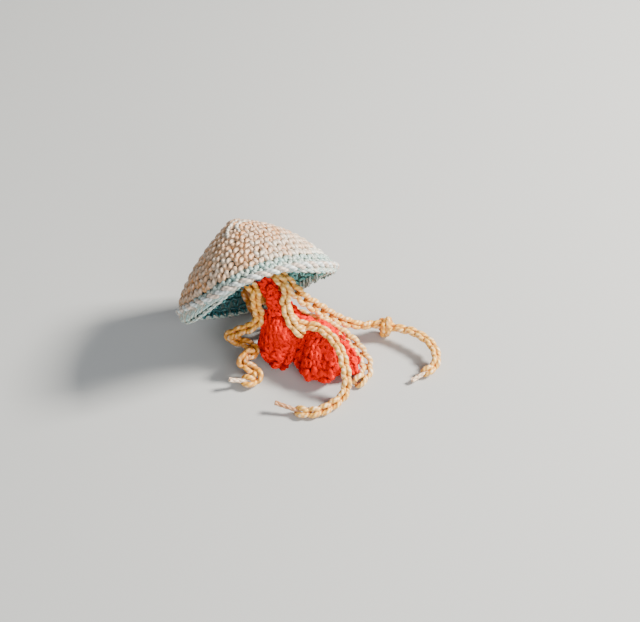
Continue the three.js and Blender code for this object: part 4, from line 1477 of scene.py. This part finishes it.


# Putting it together ------------------------------------------------------------------------------

# Colours. Those named *_PAINTED_SHADE are painted shade that a thread takes where it dips and in its ply
# grooves. WHITE serves only as painted glints, and WARM_WHITE and ORANGE_RED serve as painted glints
# besides being thread colours.
PEACH = rgb(254, 172, 92)
PALE_AQUA = rgb(252, 250, 238)
CROWN_PAINTED_SHADE = rgb(108, 102, 80)
BRIM_PEACH = rgb(240, 196, 164)
BRIM_WHITE = rgb(240, 246, 244)
AQUA = rgb(184, 220, 216)
BRIM_PAINTED_SHADE = rgb(66, 96, 92)
# TEAL is the lining's aqua darkened as painted shade; PALE_TEAL is its colour on the side where light comes
# into the cup.
TEAL = rgb(28, 92, 100)
PALE_TEAL = rgb(150, 236, 232)
TEAL_PAINTED_SHADE = rgb(30, 80, 82)
# a darker cream: painted shade for the chains in the cup's shade, and mostly the colour of the front tail's
# thread
CARAMEL = rgb(178, 108, 38)
CREAM = rgb(255, 188, 62)
PALE_PINK = rgb(255, 224, 140)
CHAIN_PAINTED_SHADE = rgb(176, 94, 34)
WHITE = rgb(255, 246, 234)
WARM_WHITE = rgb(255, 236, 206)
RED = rgb(255, 18, 0)
ORANGE_RED = rgb(255, 50, 0)
RED_PAINTED_SHADE = rgb(176, 6, 0)

add_camera()
cream_cotton = thread_finish(
    "cream_cotton", CREAM, PALE_PINK, CHAIN_PAINTED_SHADE, WARM_WHITE, (1.20, 1.30), ply_contrast=0.55, glints=1.0
)
# the darker copy of the cream cotton, painted shade for the chains in the cup's shade
shaded_cream_cotton = thread_finish(
    "shaded_cream_cotton", CARAMEL, CREAM, CHAIN_PAINTED_SHADE, WARM_WHITE, (1.15, 1.30), ply_contrast=0.55, glints=0.6
)
tail_cotton = thread_finish("tail_cotton", CARAMEL, WARM_WHITE, CHAIN_PAINTED_SHADE, WARM_WHITE, (0.1, 0.5))
add_tentacles(cream_cotton, shaded_cream_cotton, tail_cotton)
peach_cotton = thread_finish(
    "peach_cotton", PEACH, PALE_AQUA, CROWN_PAINTED_SHADE, WHITE, (-0.25, 0.10), ply_contrast=0.6, glints=0.8
)
aqua_cotton = thread_finish("aqua_cotton", BRIM_PEACH, AQUA, BRIM_PAINTED_SHADE, WHITE, (-0.35, 0.10))
white_cotton = thread_finish("white_cotton", BRIM_PEACH, BRIM_WHITE, BRIM_PAINTED_SHADE, WHITE, (0.55, 1.20))
teal_cotton = thread_finish(
    "teal_cotton", TEAL, PALE_TEAL, TEAL_PAINTED_SHADE, WHITE, (-0.10, 0.45), glints=0.2, patchy=0.8
)
add_crown(peach_cotton, teal_cotton)
add_brim(aqua_cotton, white_cotton)
red_wool = thread_finish(
    "red_wool", RED, ORANGE_RED, RED_PAINTED_SHADE, ORANGE_RED, (-0.10, 0.40), ply_pitch=2.6, ply_depth=0.00018,
    roughness=0.9, specular=0.1, glints=0.8, fibre=0.6,
)
add_arms(red_wool)
add_stage()
for helper in patterns:
    bpy.data.objects.remove(helper)
